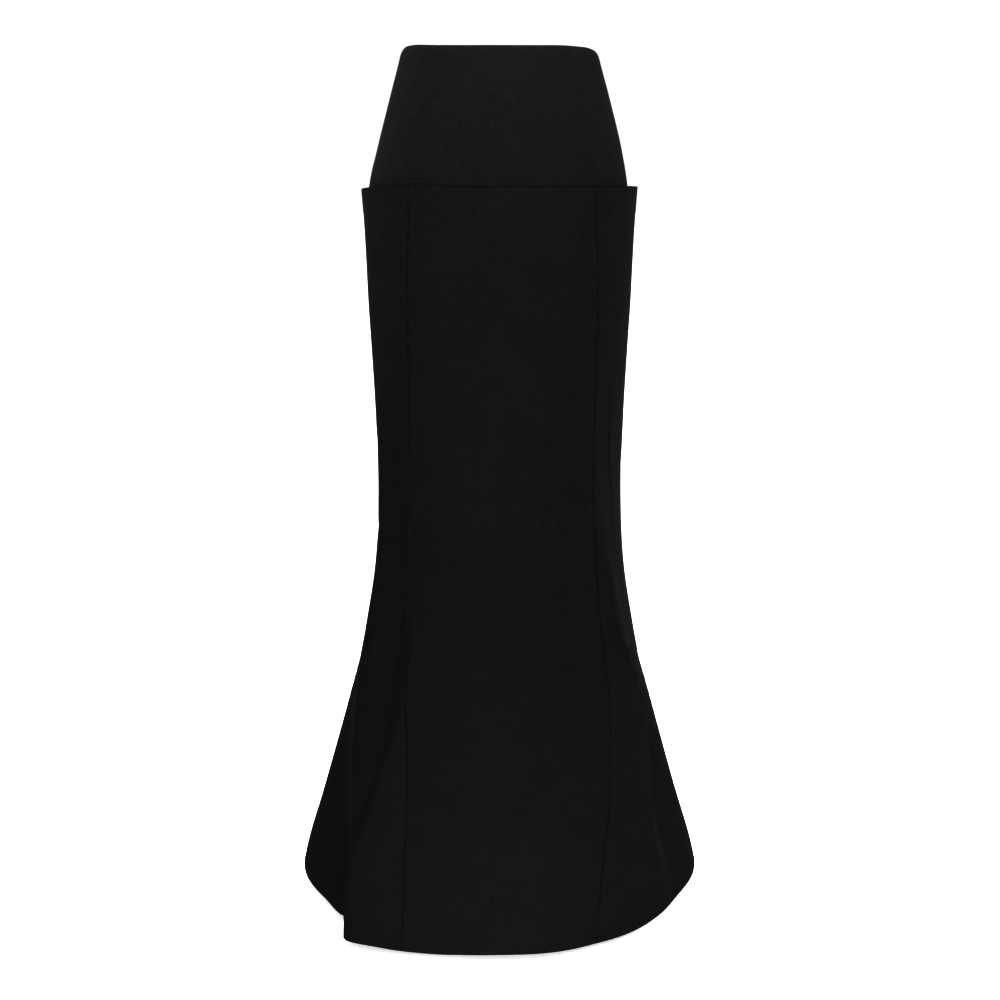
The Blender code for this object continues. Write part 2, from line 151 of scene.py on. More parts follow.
# Crepe: a matt black double crepe of hard-twisted yarn, which gives a pebbled face with no shine and a faint
# dusty sheen where it turns away. Its threads lie about 0.35 mm apart, too fine for the render, so the weave
# is drawn at 1.1 mm and the pebble at 1.7 mm. Uneven yarns leave short streaks along both threads.
THREAD_PITCH = 0.0011
PEBBLE_SIZE = 0.0017
SLUB_SIZE = (0.0030, 0.0170)
CLOUD_SIZE = 0.06
WEAVE_RELIEF = 0.00012
# The length over which a wave texture of scale 1 repeats.
WAVE_PERIOD_AT_SCALE_ONE = 2.0 * math.pi / 20.0


def add_node(tree, kind, settings, inputs):
    """A node with its settings and its inputs."""
    node = tree.nodes.new(kind)
    for name, value in settings.items():
        setattr(node, name, value)
    set_inputs(tree, node, inputs)
    return node


def crepe_material():
    """Double crepe, drawn on each piece's own cloth map, in metres, so that it follows the cut."""
    material, tree, shader = start_material("matt_black_double_crepe")
    cloth = add_node(tree, "ShaderNodeUVMap", {"uv_map": "cloth"}, {})
    warp, weft = (
        add_node(tree, "ShaderNodeTexWave", {"bands_direction": direction}, {
            "Vector": cloth.outputs["UV"], "Scale": WAVE_PERIOD_AT_SCALE_ONE / THREAD_PITCH,
            "Distortion": 1.6, "Detail": 2.0, "Detail Scale": 0.35, "Detail Roughness": 0.6})
        for direction in ("X", "Y"))
    pebble = add_node(tree, "ShaderNodeTexNoise", {}, {
        "Vector": cloth.outputs["UV"], "Scale": 1.0 / PEBBLE_SIZE, "Detail": 3.0, "Roughness": 0.6})
    crossing = add_node(tree, "ShaderNodeMath", {"operation": "MULTIPLY"}, {
        0: warp.outputs["Fac"], 1: weft.outputs["Fac"]})
    relief = add_node(tree, "ShaderNodeMath", {"operation": "ADD"}, {
        0: crossing.outputs["Value"], 1: pebble.outputs["Fac"]})
    slubs = []
    for sizes in (SLUB_SIZE, SLUB_SIZE[::-1]):
        streaks = add_node(tree, "ShaderNodeMapping", {}, {
            "Vector": cloth.outputs["UV"], "Scale": (1.0 / sizes[0], 1.0 / sizes[1], 1.0)})
        slubs.append(add_node(tree, "ShaderNodeTexNoise", {}, {
            "Vector": streaks.outputs["Vector"], "Scale": 1.0, "Detail": 2.0, "Roughness": 0.55}))
    uneven = add_node(tree, "ShaderNodeMix", {"data_type": "FLOAT"}, {
        "Factor": 0.5, "A": slubs[0].outputs["Fac"], "B": slubs[1].outputs["Fac"]})
    clouds = add_node(tree, "ShaderNodeTexNoise", {}, {
        "Vector": cloth.outputs["UV"], "Scale": 1.0 / CLOUD_SIZE, "Detail": 2.0})
    worn = add_node(tree, "ShaderNodeMix", {"data_type": "FLOAT"}, {
        "Factor": 0.2, "A": uneven.outputs["Result"], "B": clouds.outputs["Fac"]})
    height = add_node(tree, "ShaderNodeMath", {"operation": "ADD"}, {
        0: relief.outputs["Value"], 1: uneven.outputs["Result"]})
    bump = add_node(tree, "ShaderNodeBump", {}, {
        "Height": height.outputs["Value"], "Distance": WEAVE_RELIEF, "Strength": 0.7})
    # The tone is lighter where the weave and pebble stand up and darker in their hollows: painted shade. The
    # slubs and clouds mixed in give the yarns' own uneven tone.
    weave_shade_and_mottle = add_node(tree, "ShaderNodeMix", {"data_type": "FLOAT"}, {
        "Factor": 0.75, "A": relief.outputs["Value"], "B": worn.outputs["Result"]})
    tone = add_node(tree, "ShaderNodeValToRGB", {}, {"Fac": weave_shade_and_mottle.outputs["Result"]})
    dark, light = tone.color_ramp.elements
    dark.position, dark.color = 0.37, linear("#19191a")
    light.position, light.color = 0.75, linear("#232324")
    matt = add_node(tree, "ShaderNodeMapRange", {}, {
        "Value": relief.outputs["Value"], "From Min": 0.3, "From Max": 1.3, "To Min": 0.97, "To Max": 0.88})
    set_inputs(tree, shader, {
        "Base Color": tone.outputs["Color"], "Roughness": matt.outputs["Result"],
        "Normal": bump.outputs["Normal"], "Specular IOR Level": 0.0, "Sheen Weight": 0.015,
        "Sheen Roughness": 0.25})
    return material


crepe = crepe_material()


# Form of the worn skirt. The cloth hangs from the hip, is narrowest at the knee and flares to the hem in
# flutes. Sections give the outer face, and folds what the hanging cloth adds to it.
LENGTH = 1.084
SKIRT_SECTIONS = (
    # drop, half_width, front, back, corner, lean
    (0.164, 0.1698, 0.1145, 0.1245, 2.30, 0.0000),
    (0.205, 0.1668, 0.1158, 0.1258, 2.30, -0.0001),
    (0.255, 0.1643, 0.1170, 0.1270, 2.30, -0.0002),
    (0.305, 0.1622, 0.1175, 0.1270, 2.30, -0.0002),
    (0.355, 0.1592, 0.1175, 0.1270, 2.30, -0.0002),
    (0.455, 0.1542, 0.1170, 0.1255, 2.25, -0.0001),
    (0.550, 0.1526, 0.1175, 0.1255, 2.20, 0.0000),
    (0.640, 0.1577, 0.1215, 0.1310, 2.15, -0.0001),
    (0.720, 0.1703, 0.1270, 0.1430, 2.10, -0.0001),
    (0.760, 0.1768, 0.1312, 0.1520, 2.08, -0.0004),
    (0.800, 0.1822, 0.1360, 0.1620, 2.05, -0.0009),
    (0.870, 0.1893, 0.1480, 0.1830, 2.00, -0.0009),
    (0.955, 0.1957, 0.1650, 0.2120, 2.00, -0.0004),
    (1.030, 0.2021, 0.1850, 0.2420, 2.00, -0.0003),
    (1.084, 0.2020, 0.2016, 0.2636, 2.00, -0.0003),
)
HANGS_TO_HEM = 9.0
FLUTE_EASE = 0.12
FOLDS = (
    # starts, full, faded, angle, foot_angle, front, foot_front, back, foot_back, height
    (0.705, 1.084, HANGS_TO_HEM, -108, -113, 11, 25, 22, 26, 0.077),
    (0.705, 1.084, HANGS_TO_HEM, 108, 113, 11, 25, 22, 26, 0.077),
    (0.660, 1.084, HANGS_TO_HEM, -140, -147, 14, 16, 14, 15, 0.026),
    (0.660, 1.084, HANGS_TO_HEM, 140, 146, 14, 15, 14, 16, 0.029),
    (0.700, 1.084, HANGS_TO_HEM, 180, 180, 14, 15, 14, 15, 0.022),
    (0.720, 1.084, HANGS_TO_HEM, -80, -51, 12, 19, 11, 7.9, 0.041),
    (0.850, 1.084, HANGS_TO_HEM, -72, -72, 14, 14, 14, 14, 0.010),
    (0.850, 1.084, HANGS_TO_HEM, 68, 70, 16, 18, 14, 14, 0.009),
    (0.860, 1.084, HANGS_TO_HEM, -69, -61.5, 7, 5, 9, 7, -0.020),
    (0.330, 0.700, 0.950, -65, -61, 10, 10, 14, 10, -0.019),
    (0.660, 0.880, 1.100, -46, -55, 6, 7, 6, 5, 0.012),
    (0.440, 0.700, 0.920, 50, 78, 8, 8, 6, 6, 0.007),
    (0.700, 0.880, 1.080, 76, 76, 14, 16, 7, 7, 0.006),
    (0.740, 0.900, 1.080, 91, 89, 9, 8, 9, 8, -0.024),
    (0.850, 1.084, HANGS_TO_HEM, 34, 35, 12, 12, 10, 10, -0.004),
)


def smoothstep(value):
    """From 0 to 1, with no corner at either end."""
    value = np.clip(value, 0.0, 1.0)
    return value * value * (3.0 - 2.0 * value)


def read_curve(rows, column, position):
    """Values of a table's column at positions along its first column, on a smooth curve through its rows."""
    places, values = np.array([(row[0], row[column]) for row in rows], float).T
    spans = np.diff(places)
    slopes = np.diff(values) / spans
    between = (slopes[:-1] * spans[1:] + slopes[1:] * spans[:-1]) / (spans[1:] + spans[:-1])
    tangents = np.concatenate((slopes[:1], between, slopes[-1:]))
    position = np.clip(position, places[0], places[-1])
    index = np.clip(np.searchsorted(places, position, side="right") - 1, 0, len(spans) - 1)
    span = spans[index]
    t = (position - places[index]) / span
    return ((2 * t**3 - 3 * t**2 + 1) * values[index]
            + (t**3 - 2 * t**2 + t) * span * tangents[index]
            + (3 * t**2 - 2 * t**3) * values[index + 1]
            + (t**3 - t**2) * span * tangents[index + 1])


def section_radius(rows, angle, drop):
    """Distance from the middle to a rounded, slightly squared section."""
    half_width, front, back, corner = (read_curve(rows, column, drop) for column in (1, 2, 3, 4))
    across = np.abs(np.sin(np.radians(angle)))
    along = np.abs(np.cos(np.radians(angle)))
    depth = np.where(np.cos(np.radians(angle)) > 0.0, front, back)
    return ((across / half_width) ** corner + (along / depth) ** corner) ** (-1.0 / corner)


def fold_height(fold, angle, drop):
    """How far one fold lifts the cloth. Its middle turns from one angle to another as it falls."""
    starts, full, faded, top_angle, foot_angle, front, foot_front, back, foot_back, height = fold
    grown = np.clip((drop - starts) / (full - starts), 0.0, 1.0)
    along = np.clip((drop - starts) / (min(faded, LENGTH) - starts), 0.0, 1.0)
    if faded == HANGS_TO_HEM:
        strength = (1.0 + FLUTE_EASE) * grown * grown / (grown + FLUTE_EASE)
    else:
        strength = smoothstep(grown) * (1.0 - smoothstep((drop - full) / (faded - full)))
    middle = top_angle + (foot_angle - top_angle) * along
    side = 1.0 if foot_angle > 0.0 else -1.0
    offset = ((angle - middle + 180.0) % 360.0 - 180.0) * side
    width = np.where(offset < 0.0, front + (foot_front - front) * along, back + (foot_back - back) * along)
    return height * strength * np.exp(-((offset / width) ** 2))


def on_circle(radius, angle, drop):
    """Places at a radius round the middle."""
    turn = np.radians(angle)
    return np.stack((radius * np.sin(turn), -radius * np.cos(turn), -drop + 0.0 * radius), axis=-1)


def skirt_face(angle, drop):
    """Outer face of the lower skirt."""
    folds = sum(fold_height(fold, angle, drop) for fold in FOLDS)
    face = on_circle(section_radius(SKIRT_SECTIONS, angle, drop) + folds, angle, drop)
    face[..., 0] -= read_curve(SKIRT_SECTIONS, 5, drop)
    return face


# How the cloth is cut and sewn. It is 0.9 mm thick and is turned to the inside along the waist, the rim and
# the hem. At each seam both edges roll in, and their allowances are pressed open behind.
CLOTH = 0.0009
TURNED = 0.0016
SEAM_ROLL = 0.0013
SEAM_CLEFT = 0.0005
SEAM_CLEFT_STEP = 0.9
SEAM_DEPTH = 0.0014
FLAT_SEAM_ANGLE = -54.0
FLAT_SEAM_TURN = 12.0
FLAT_SEAM_DROPS = (0.50, 0.69)
FLAT_SEAM_EASE = 0.03
FLAT_SEAM_SHARE = 0.75
FOLD_CLEARANCE = 0.00005
SOFT_FOLD = TURNED / 2.0 - FOLD_CLEARANCE
PRESSED_FOLD = 0.0004
SEAM_ALLOWANCE = 0.012
TURNING = 0.029
STEP_REACH = 0.0008
LEAST_EDGE = 0.0001
SEAM_COLUMNS = (0.0000003, 0.0005, 0.0007, 0.0011, 0.0018, 0.0032, 0.0065, 0.010, 0.0116, 0.0128, 0.016)
FOLD_ROWS = (0.0, 0.00012, 0.0004, 0.0008, 0.0016, 0.004, 0.009, 0.016, 0.023, 0.0282, 0.0298, 0.034)
ARC_SAMPLES = 161
NORMAL_TURN = 0.4
NORMAL_DROP = 0.001
CLOTH_SHARP_FROM = 50.0


def spaced(first, last, count):
    """Places along a length, as metres and as a share of what is left: close at both ends, even between."""
    head = [(reach, 0.0) for reach in first]
    middle = [(first[-1], step / (count + 1)) for step in range(1, count + 1)]
    tail = [(first[-1] + last[-1] - reach, 1.0) for reach in reversed(last)]
    metres, share = np.array(head + middle + tail).T
    return metres, share, first[-1] + last[-1]


def rolled(reach, radius):
    """How deep a rounded edge lies below the face, at a reach in from the edge."""
    near = np.clip(radius - reach, 0.0, radius)
    return radius - np.sqrt(radius * radius - near * near)


def seam_depth(reach):
    """How deep a seamed edge lies below the face: it rolls in, and then drops into the cleft of the seam."""
    cleft = (1.0 - smoothstep((reach - SEAM_CLEFT) / (SEAM_CLEFT * SEAM_CLEFT_STEP))) * SEAM_DEPTH
    return np.maximum(rolled(reach, SEAM_ROLL), cleft)


def pulled_flat(angle, drop):
    """Share of a seam's depth that is left. At the left knee the trough pulls the princess seam flat."""
    first, last = FLAT_SEAM_DROPS
    over = smoothstep((drop - first) / FLAT_SEAM_EASE) * smoothstep((last - drop) / FLAT_SEAM_EASE)
    return 1.0 - FLAT_SEAM_SHARE * over * np.exp(-(((angle - FLAT_SEAM_ANGLE) / FLAT_SEAM_TURN) ** 2))


def within(reach, width):
    """1 within a width from an edge and 0 past it, over a short step."""
    return 1.0 - smoothstep((reach - width) / STEP_REACH + 0.5)


def outward_normal(face, angle, drop):
    """Direction out of a face."""
    across = face(angle + NORMAL_TURN, drop) - face(angle - NORMAL_TURN, drop)
    down = face(angle, drop + NORMAL_DROP) - face(angle, drop - NORMAL_DROP)
    normal = np.cross(down, across)
    return normal / np.linalg.norm(normal, axis=-1, keepdims=True)


def lay_cloth(name, face, seams, edges, levels, columns, rows, folds, lift):
    """Closed wall of cloth on a face, from seam to seam and from its top edge to its foot.

    Seams give the two side angles at a level, and edges the two drops at an angle. Columns are spaced along
    the cloth of each row. Folds give how round the top edge and the foot are turned in, 0 where the edge is
    cut. The cloth's own map, in metres, is measured along its rows and columns.
    """
    across_m, across_share, across_margin = columns
    down_m, down_share, down_margin = rows
    top_level, foot_level = levels
    angle, side_reach = [], []
    for level in top_level + down_m + down_share * (foot_level - top_level - down_margin):
        sample = np.linspace(float(seams[0](level)), float(seams[1](level)), ARC_SAMPLES)
        points = face(sample, np.full(ARC_SAMPLES, level))
        arc = np.concatenate(([0.0], np.cumsum(np.linalg.norm(np.diff(points, axis=0), axis=1))))
        reach = across_m + across_share * (arc[-1] - across_margin)
        angle.append(np.interp(reach, arc, sample))
        side_reach.append(np.minimum(reach, arc[-1] - reach))
    angle, side_reach = np.array(angle), np.array(side_reach)
    top = edges[0](angle)
    length = edges[1](angle) - top
    down = down_m[:, None] + down_share[:, None] * (length - down_margin)
    drop = top + down

    fold = np.zeros_like(drop)
    doubled = within(side_reach, SEAM_ALLOWANCE)
    for roundness, reach in zip(folds, (down, length - down)):
        if roundness:
            fold = np.maximum(fold, rolled(reach, roundness))
            doubled = np.maximum(doubled, within(reach, TURNING))
    inside = CLOTH + (TURNED - CLOTH) * doubled - fold
    seam = seam_depth(side_reach) * pulled_flat(angle, drop)
    sunk = np.minimum(np.maximum(fold, seam), inside - LEAST_EDGE)
    middle = face(angle, drop)
    normal = outward_normal(face, angle, drop)
    relief = lift(angle, drop, side_reach)
    outer = middle + normal * (relief - sunk)[..., None]
    inner = middle + normal * (relief - inside)[..., None]

    cloth_u = np.cumsum(np.linalg.norm(np.diff(middle, axis=1, prepend=middle[:, :1]), axis=2), axis=1)
    cloth_u = cloth_u - cloth_u[:, -1:] / 2.0
    cloth_v = -np.cumsum(np.linalg.norm(np.diff(middle, axis=0, prepend=middle[:1]), axis=2), axis=0)
    return close_wall(name, outer, inner, cloth_u, cloth_v, crepe)


def close_wall(name, outer, inner, cloth_u, cloth_v, material):
    """Closed wall between an outer and an inner grid of points, with the cloth's own map in metres."""
    last_row, last_column = outer.shape[0] - 1, outer.shape[1] - 1
    wall = bmesh.new()
    bmesh.ops.create_grid(wall, x_segments=last_column, y_segments=last_row, size=0.5)
    doubled_faces = bmesh.ops.extrude_face_region(wall, geom=wall.faces[:])
    inner_verts = {item for item in doubled_faces["geom"] if isinstance(item, bmesh.types.BMVert)}
    cloth_map = wall.loops.layers.uv.new("cloth")
    spot = {}
    for vert in wall.verts:
        row = round((0.5 - vert.co.y) * last_row)
        column = round((vert.co.x + 0.5) * last_column)
        spot[vert] = (cloth_u[row, column], cloth_v[row, column])
        vert.co = inner[row, column] if vert in inner_verts else outer[row, column]
    for quad in wall.faces:
        for corner in quad.loops:
            corner[cloth_map].uv = spot[corner.vert]
    return add_piece(name, wall, material, CLOTH_SHARP_FROM)


def add_piece(name, shape, material, sharp_from):
    """Finished piece: its faces turned outward, its place in its mesh, and edges past an angle left sharp."""
    # The points may have moved since the faces were made, so the normals are brought up to date first.
    shape.normal_update()
    bmesh.ops.recalc_face_normals(shape, faces=shape.faces[:])
    mesh = bpy.data.meshes.new(name)
    shape.to_mesh(mesh)
    shape.free()
    mesh.shade_smooth()
    mesh.set_sharp_from_angle(angle=math.radians(sharp_from))
    mesh.materials.append(material)
    return add_object(name, mesh)


def sew_piece(piece, face, edges, levels, rows, folds, lift):
    """One piece of the cut: its shell of cloth, and the node that it stands for, which is hidden. Its flat
    size is not used.
    """
    node, left_seam, right_seam, middle_columns, flat, area = piece
    seams = (left_seam, right_seam)
    columns = spaced(SEAM_COLUMNS, SEAM_COLUMNS, middle_columns)
    cloth = lay_cloth(node + "_cloth", face, seams, edges, levels, columns, rows, folds, lift)
    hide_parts(node)
    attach(cloth, "skirt")


# Hip yoke: one front piece and two back pieces that meet at the zip. Its top is turned in and understitched,
# so it stands as a clean edge with no waistband. Its foot is sewn inside the lower skirt, below the rim.
RIM_DROP = 0.164
YOKE_DROP = 0.186
YOKE_SECTIONS = (
    # drop, half_width, front, back, corner, lean
    (-0.003, 0.1178, 0.0865, 0.0894, 2.40, 0.0000),
    (0.000, 0.1184, 0.0870, 0.0900, 2.40, 0.0000),
    (0.060, 0.1339, 0.0985, 0.1040, 2.40, -0.0002),
    (0.120, 0.1491, 0.1075, 0.1165, 2.40, 0.0001),
    (0.164, 0.1580, 0.1125, 0.1225, 2.40, 0.0012),
    (0.190, 0.1596, 0.1130, 0.1230, 2.40, 0.0012),
)
WAIST_EDGE = (
    # angle, drop
    (-180, 0.0000), (-166, 0.0001), (-110, 0.0025), (-90, 0.0020), (-75, -0.0016), (-63, -0.0023),
    (-45, -0.0011), (-30, -0.0006), (0, -0.0004), (30, -0.0005), (47, -0.0008), (58, -0.0001), (67, 0.0006),
    (76, 0.0025), (90, 0.0045), (110, 0.0035), (166, 0.0001), (180, 0.0000),
)
RIM_EDGE = (
    # angle, drop
    (-180, 0.1655), (-110, 0.1690), (-90, 0.1700), (-78, 0.1676), (-69, 0.1660), (-60, 0.1654),
    (-52, 0.1636), (-46, 0.1627), (-38, 0.1635), (-23, 0.1654), (0, 0.1661), (23, 0.1658), (39, 0.1661),
    (54, 0.1664), (62, 0.1670), (70, 0.1660), (90, 0.1664), (110, 0.1665), (180, 0.1655),
)
YOKE_SIDE = 92.0
CAD_WALL = 0.0018
LUG_DROP = 0.0165
LUG_PARTING = 0.00095
LUG_PARTING_REACH = 0.0028
BACK_REACH_AT_LUG = 0.0945
WAIST_CURVE = 0.0030
WAIST_CURVE_REACH = 0.011
RIM_TUCK = 0.0005
RIM_TUCK_REACH = 0.0024
RIM_TUCK_END = 0.172
RIM_TUCK_SIDE = 150.0
RIM_TUCK_FADE = 15.0
WAVE_HEIGHT = 0.0005
WAVE_FREQUENCY = (7.0, 7.0, 4.0)
PUCKER_HEIGHT = 0.00012
PUCKER_REACH = 0.007
PUCKER_LENGTHS = (0.0173, 0.0117)
YOKE_WAVE_RADIUS = 0.13
YOKE_CALM_DROP = 0.11
YOKE_CALM_FADE = 0.04
YOKE_MIDDLE_ROWS = 30
WAIST_ROWS = (
    0.0, 0.00012, 0.0004, 0.0008, 0.0016, 0.0026, 0.004, 0.006, 0.009, 0.016, 0.023, 0.0282, 0.0298, 0.034)
UNDER_RIM_ROWS = (
    0.0, 0.006, 0.0120, 0.0145, 0.0157, 0.0169, 0.0181, 0.0193, 0.0205, 0.0217, 0.0229, 0.0241, 0.0253,
    0.0265, 0.0277, 0.0300)


def yoke_face(angle, drop):
    """The yoke's own face, which slopes out to the inside of the lower panels below their rim."""
    own = on_circle(section_radius(YOKE_SECTIONS, angle, drop), angle, drop)
    own[..., 0] -= read_curve(YOKE_SECTIONS, 5, drop)
    seat = skirt_face(angle, drop) - outward_normal(skirt_face, angle, drop) * CAD_WALL
    seated = smoothstep((drop - RIM_DROP) / (YOKE_DROP - RIM_DROP))[..., None]
    blended = own + (seat - own) * seated
    blended[..., 2] = own[..., 2]
    reach = np.hypot(blended[..., 0], blended[..., 1])
    seat_reach = np.hypot(seat[..., 0], seat[..., 1])
    held = np.where((drop > RIM_DROP) & (reach > seat_reach), seat_reach / reach, 1.0)
    blended[..., :2] *= held[..., None]
    return blended


def waist_edge(angle):
    return read_curve(WAIST_EDGE, 1, angle)


def yoke_foot(angle):
    return YOKE_DROP + 0.0 * angle


def rim_edge(angle):
    return read_curve(RIM_EDGE, 1, angle)


def parted_seam(side):
    """Centre back seam of the yoke, which opens a little round the slider's lug."""
    def seam(level):
        parted = LUG_PARTING * math.exp(-(((level - LUG_DROP) / LUG_PARTING_REACH) ** 2))
        return side * (180.0 - math.degrees(parted / BACK_REACH_AT_LUG))
    return seam


def fixed_seam(angle):
    """A seam that falls straight."""
    return lambda level: angle


def small_relief(points, drop, side_reach):
    """Slow waves of a hand's width in the cloth, and the small puckers that stitching leaves along a seam."""
    places = (points * WAVE_FREQUENCY).reshape(-1, 3)
    waves = np.array([noise.noise(place) for place in places]).reshape(drop.shape) * WAVE_HEIGHT
    puckers = sum(np.sin(2.0 * math.pi * drop / length) for length in PUCKER_LENGTHS)
    return waves + puckers * PUCKER_HEIGHT * np.exp(-((side_reach / PUCKER_REACH) ** 2))


def yoke_lift(angle, drop, side_reach):
    """Relief of the yoke: it curves in to its turned top edge, and dips into the dark line behind the rim."""
    relief = small_relief(on_circle(YOKE_WAVE_RADIUS, angle, drop), drop, side_reach)
    relief = relief * (1.0 - smoothstep((drop - YOKE_CALM_DROP) / YOKE_CALM_FADE))
    left = np.clip(1.0 - (drop - waist_edge(angle)) / WAIST_CURVE_REACH, 0.0, 1.0)
    tuck = smoothstep((drop - rim_edge(angle)) / RIM_TUCK_REACH + 1.0)
    tuck = tuck * (1.0 - smoothstep((drop - RIM_TUCK_END) / (YOKE_DROP - RIM_TUCK_END)))
    tuck = tuck * (1.0 - smoothstep((np.abs(angle) - RIM_TUCK_SIDE) / RIM_TUCK_FADE))
    return relief - WAIST_CURVE * left**3 - RIM_TUCK * tuck


YOKE_PIECES = (
    # node, left_seam, right_seam, middle_columns, flat, area
    ("yoke_front", fixed_seam(-YOKE_SIDE), fixed_seam(YOKE_SIDE), 84, (0.435, 0.215), 0.0775),
    ("yoke_back_left", parted_seam(-1.0), fixed_seam(-YOKE_SIDE), 40, (0.225, 0.215), 0.0382),
    ("yoke_back_right", fixed_seam(YOKE_SIDE), parted_seam(1.0), 40, (0.225, 0.215), 0.0382),
)
yoke_rows = spaced(WAIST_ROWS, UNDER_RIM_ROWS, YOKE_MIDDLE_ROWS)
for piece in YOKE_PIECES:
    sew_piece(piece, yoke_face, (waist_edge, yoke_foot), (0.0, YOKE_DROP), yoke_rows,
              (SOFT_FOLD, 0.0), yoke_lift)


# Lower skirt: seven long panels from the free rim to the hem. The front ones meet at two princess seams. The
# rim is a clean turned edge that stands away from the yoke at the hips, and the hem is turned up 29 mm.
SEAM_NAMES = ("back_left", "side_left", "princess_left", "princess_right", "side_right", "back_right")
SEAMS = (
    # drop, back_left, side_left, princess_left, princess_right, side_right, back_right
    (0.164, -132.0, -92.0, -48.6, 51.8, 92.0, 132.0),
    (0.455, -131.0, -93.0, -51.6, 53.8, 93.0, 131.0),
    (0.550, -131.0, -94.0, -54.0, 53.6, 94.0, 131.0),
    (0.700, -134.0, -100.0, -49.2, 54.6, 100.0, 134.0),
    (0.780, -138.0, -104.0, -46.6, 55.7, 104.0, 138.0),
    (0.860, -141.0, -107.0, -43.4, 53.4, 107.0, 141.0),
    (0.960, -144.0, -110.0, -39.6, 46.9, 110.0, 144.0),
    (1.010, -145.3, -111.3, -36.9, 42.1, 111.3, 145.3),
    (1.084, -147.0, -113.0, -33.1, 37.1, 113.0, 146.0),
)
HEM_EDGE = (
    # angle, drop
    (-180, 1.0700), (-140, 1.0670), (-120, 1.0590), (-108, 1.0550), (-102, 1.0645), (-92, 1.0736),
    (-84, 1.0753), (-76, 1.0763), (-70, 1.0796), (-52, 1.0806), (-42, 1.0800), (-34, 1.0824), (-24, 1.0836),
    (-12, 1.0818), (0, 1.0804), (15, 1.0811), (32, 1.0824), (53, 1.0812), (70, 1.0786), (82, 1.0786),
    (90, 1.0745), (100, 1.0664), (108, 1.0550), (120, 1.0590), (140, 1.0670), (180, 1.0700),
)
PANEL_MIDDLE_ROWS = 170
RIM_CALM_DROP = 0.19
RIM_CALM_FADE = 0.05
# A degree round the body, as a length on the cloth: near enough at the knee, where most creases are.
METRES_PER_DEGREE = 0.0028
CREASE_TIP = 0.3
CREASE_FADE = 0.7
CREASES = (
    # A crease is a soft trough or ridge between places on the cloth.
    # half_width, height, (angle, drop) of places along it
    # Front, viewer's right: the sharp ridge that runs from the knee to the hem, a fold beside the knee that
    # leads into it, and a soft dent above the hem
    (0.0034, 0.0040, ((59, 0.600), (61.5, 0.634), (62.5, 0.672), (64, 0.712), (68.5, 0.750), (73, 0.790),
                      (74, 0.830), (75.5, 0.870), (77, 0.906), (75.5, 0.940), (72.5, 0.970), (75, 1.004),
                      (79, 1.040))),
    (0.0026, 0.0029, ((64, 0.400), (65, 0.443), (65, 0.492), (68.5, 0.540), (71, 0.589), (74, 0.620))),
    (0.0110, -0.0022, ((56, 1.040), (64, 1.046), (72, 1.044))),
    # Front, viewer's left: the crest between the lit panel and the trough, the flute's own crest, and the
    # trough, which is wide at the knee and narrow below
    (0.0032, 0.0017, ((-45.5, 0.740), (-46.8, 0.800), (-49, 0.870), (-52.2, 0.940), (-55.3, 1.015))),
    (0.0030, 0.0006, ((-80, 0.790), (-75, 0.835), (-67.5, 0.880), (-65, 0.930))),
    (0.0165, -0.0040, ((-55, 0.370), (-58, 0.470), (-61, 0.574), (-62, 0.650), (-61, 0.724), (-60, 0.784))),
    (0.0048, -0.0024, ((-57, 0.530), (-60, 0.570), (-66, 0.598), (-70, 0.625), (-73, 0.655), (-74, 0.690),
                       (-73, 0.740), (-71, 0.780))),
    (0.0050, -0.0026, ((-56, 0.790), (-56, 0.850), (-56.5, 0.900), (-57.5, 0.950), (-59, 1.000),
                       (-60, 1.030))),
    (0.0045, -0.0030, ((69, 0.715), (73.5, 0.750), (78, 0.790), (79.5, 0.830), (81, 0.870), (82, 0.920))),
    (0.0060, -0.0016, ((84, 0.800), (87, 0.860), (87, 0.930), (85, 0.990), (87, 1.040))),
    # Knee, at both sides and behind, where the worn cloth gives
    (0.0070, -0.0010, ((-84, 0.470), (-98, 0.505), (-112, 0.520))),
    (0.0090, -0.0013, ((-78, 0.575), (-96, 0.600), (-118, 0.592))),
    (0.0060, 0.0013, ((-104, 0.545), (-122, 0.560), (-138, 0.548))),
    (0.0080, -0.0012, ((82, 0.500), (99, 0.530), (119, 0.528))),
    (0.0065, 0.0009, ((90, 0.560), (107, 0.582), (124, 0.575))),
    (0.0090, -0.0011, ((98, 0.622), (116, 0.650), (136, 0.640))),
    (0.0085, -0.0027, ((-172, 0.522), (176, 0.536), (158, 0.524))),
    (0.0070, -0.0021, ((-150, 0.566), (-166, 0.588), (174, 0.584))),
    (0.0052, 0.0017, ((168, 0.556), (152, 0.571), (139, 0.562))),
    (0.0100, -0.0025, ((150, 0.604), (167, 0.622), (-178, 0.615))),
    # Hip and seat, under the rim: drags that run down from the fullest part
    (0.0080, 0.0017, ((-118, 0.215), (-126, 0.300), (-129, 0.390))),
    (0.0090, -0.0019, ((-158, 0.235), (-151, 0.330), (-147, 0.430))),
    (0.0085, 0.0016, ((121, 0.222), (127, 0.290), (128, 0.352))),
    (0.0095, -0.0021, ((161, 0.228), (155, 0.318), (150, 0.440))),
    # Flare: the crests of the flutes behind, which stay crisp where they leave the knee
    (0.0036, 0.0034, ((-134, 0.680), (-140, 0.760), (-144, 0.850), (-146, 0.930))),
    (0.0040, 0.0027, ((137, 0.690), (141, 0.780), (144, 0.880), (145, 0.970))),
    (0.0050, 0.0015, ((-101, 0.700), (-105, 0.790), (-109, 0.880), (-111, 0.960))),
    (0.0050, 0.0014, ((103, 0.712), (106, 0.800), (110, 0.900), (112, 0.990))),
    (0.0075, -0.0029, ((-124, 0.730), (-127, 0.840), (-129, 0.950), (-130, 1.040))),
    (0.0065, -0.0023, ((125, 0.745), (127, 0.860), (129, 0.980), (130, 1.050))),
    (0.0048, 0.0022, ((168, 0.640), (166, 0.700), (169, 0.790), (173, 0.880), (171, 0.960))),
    (0.0090, -0.0024, ((-158, 0.690), (-162, 0.780), (-163, 0.890), (-161, 1.000))),
)


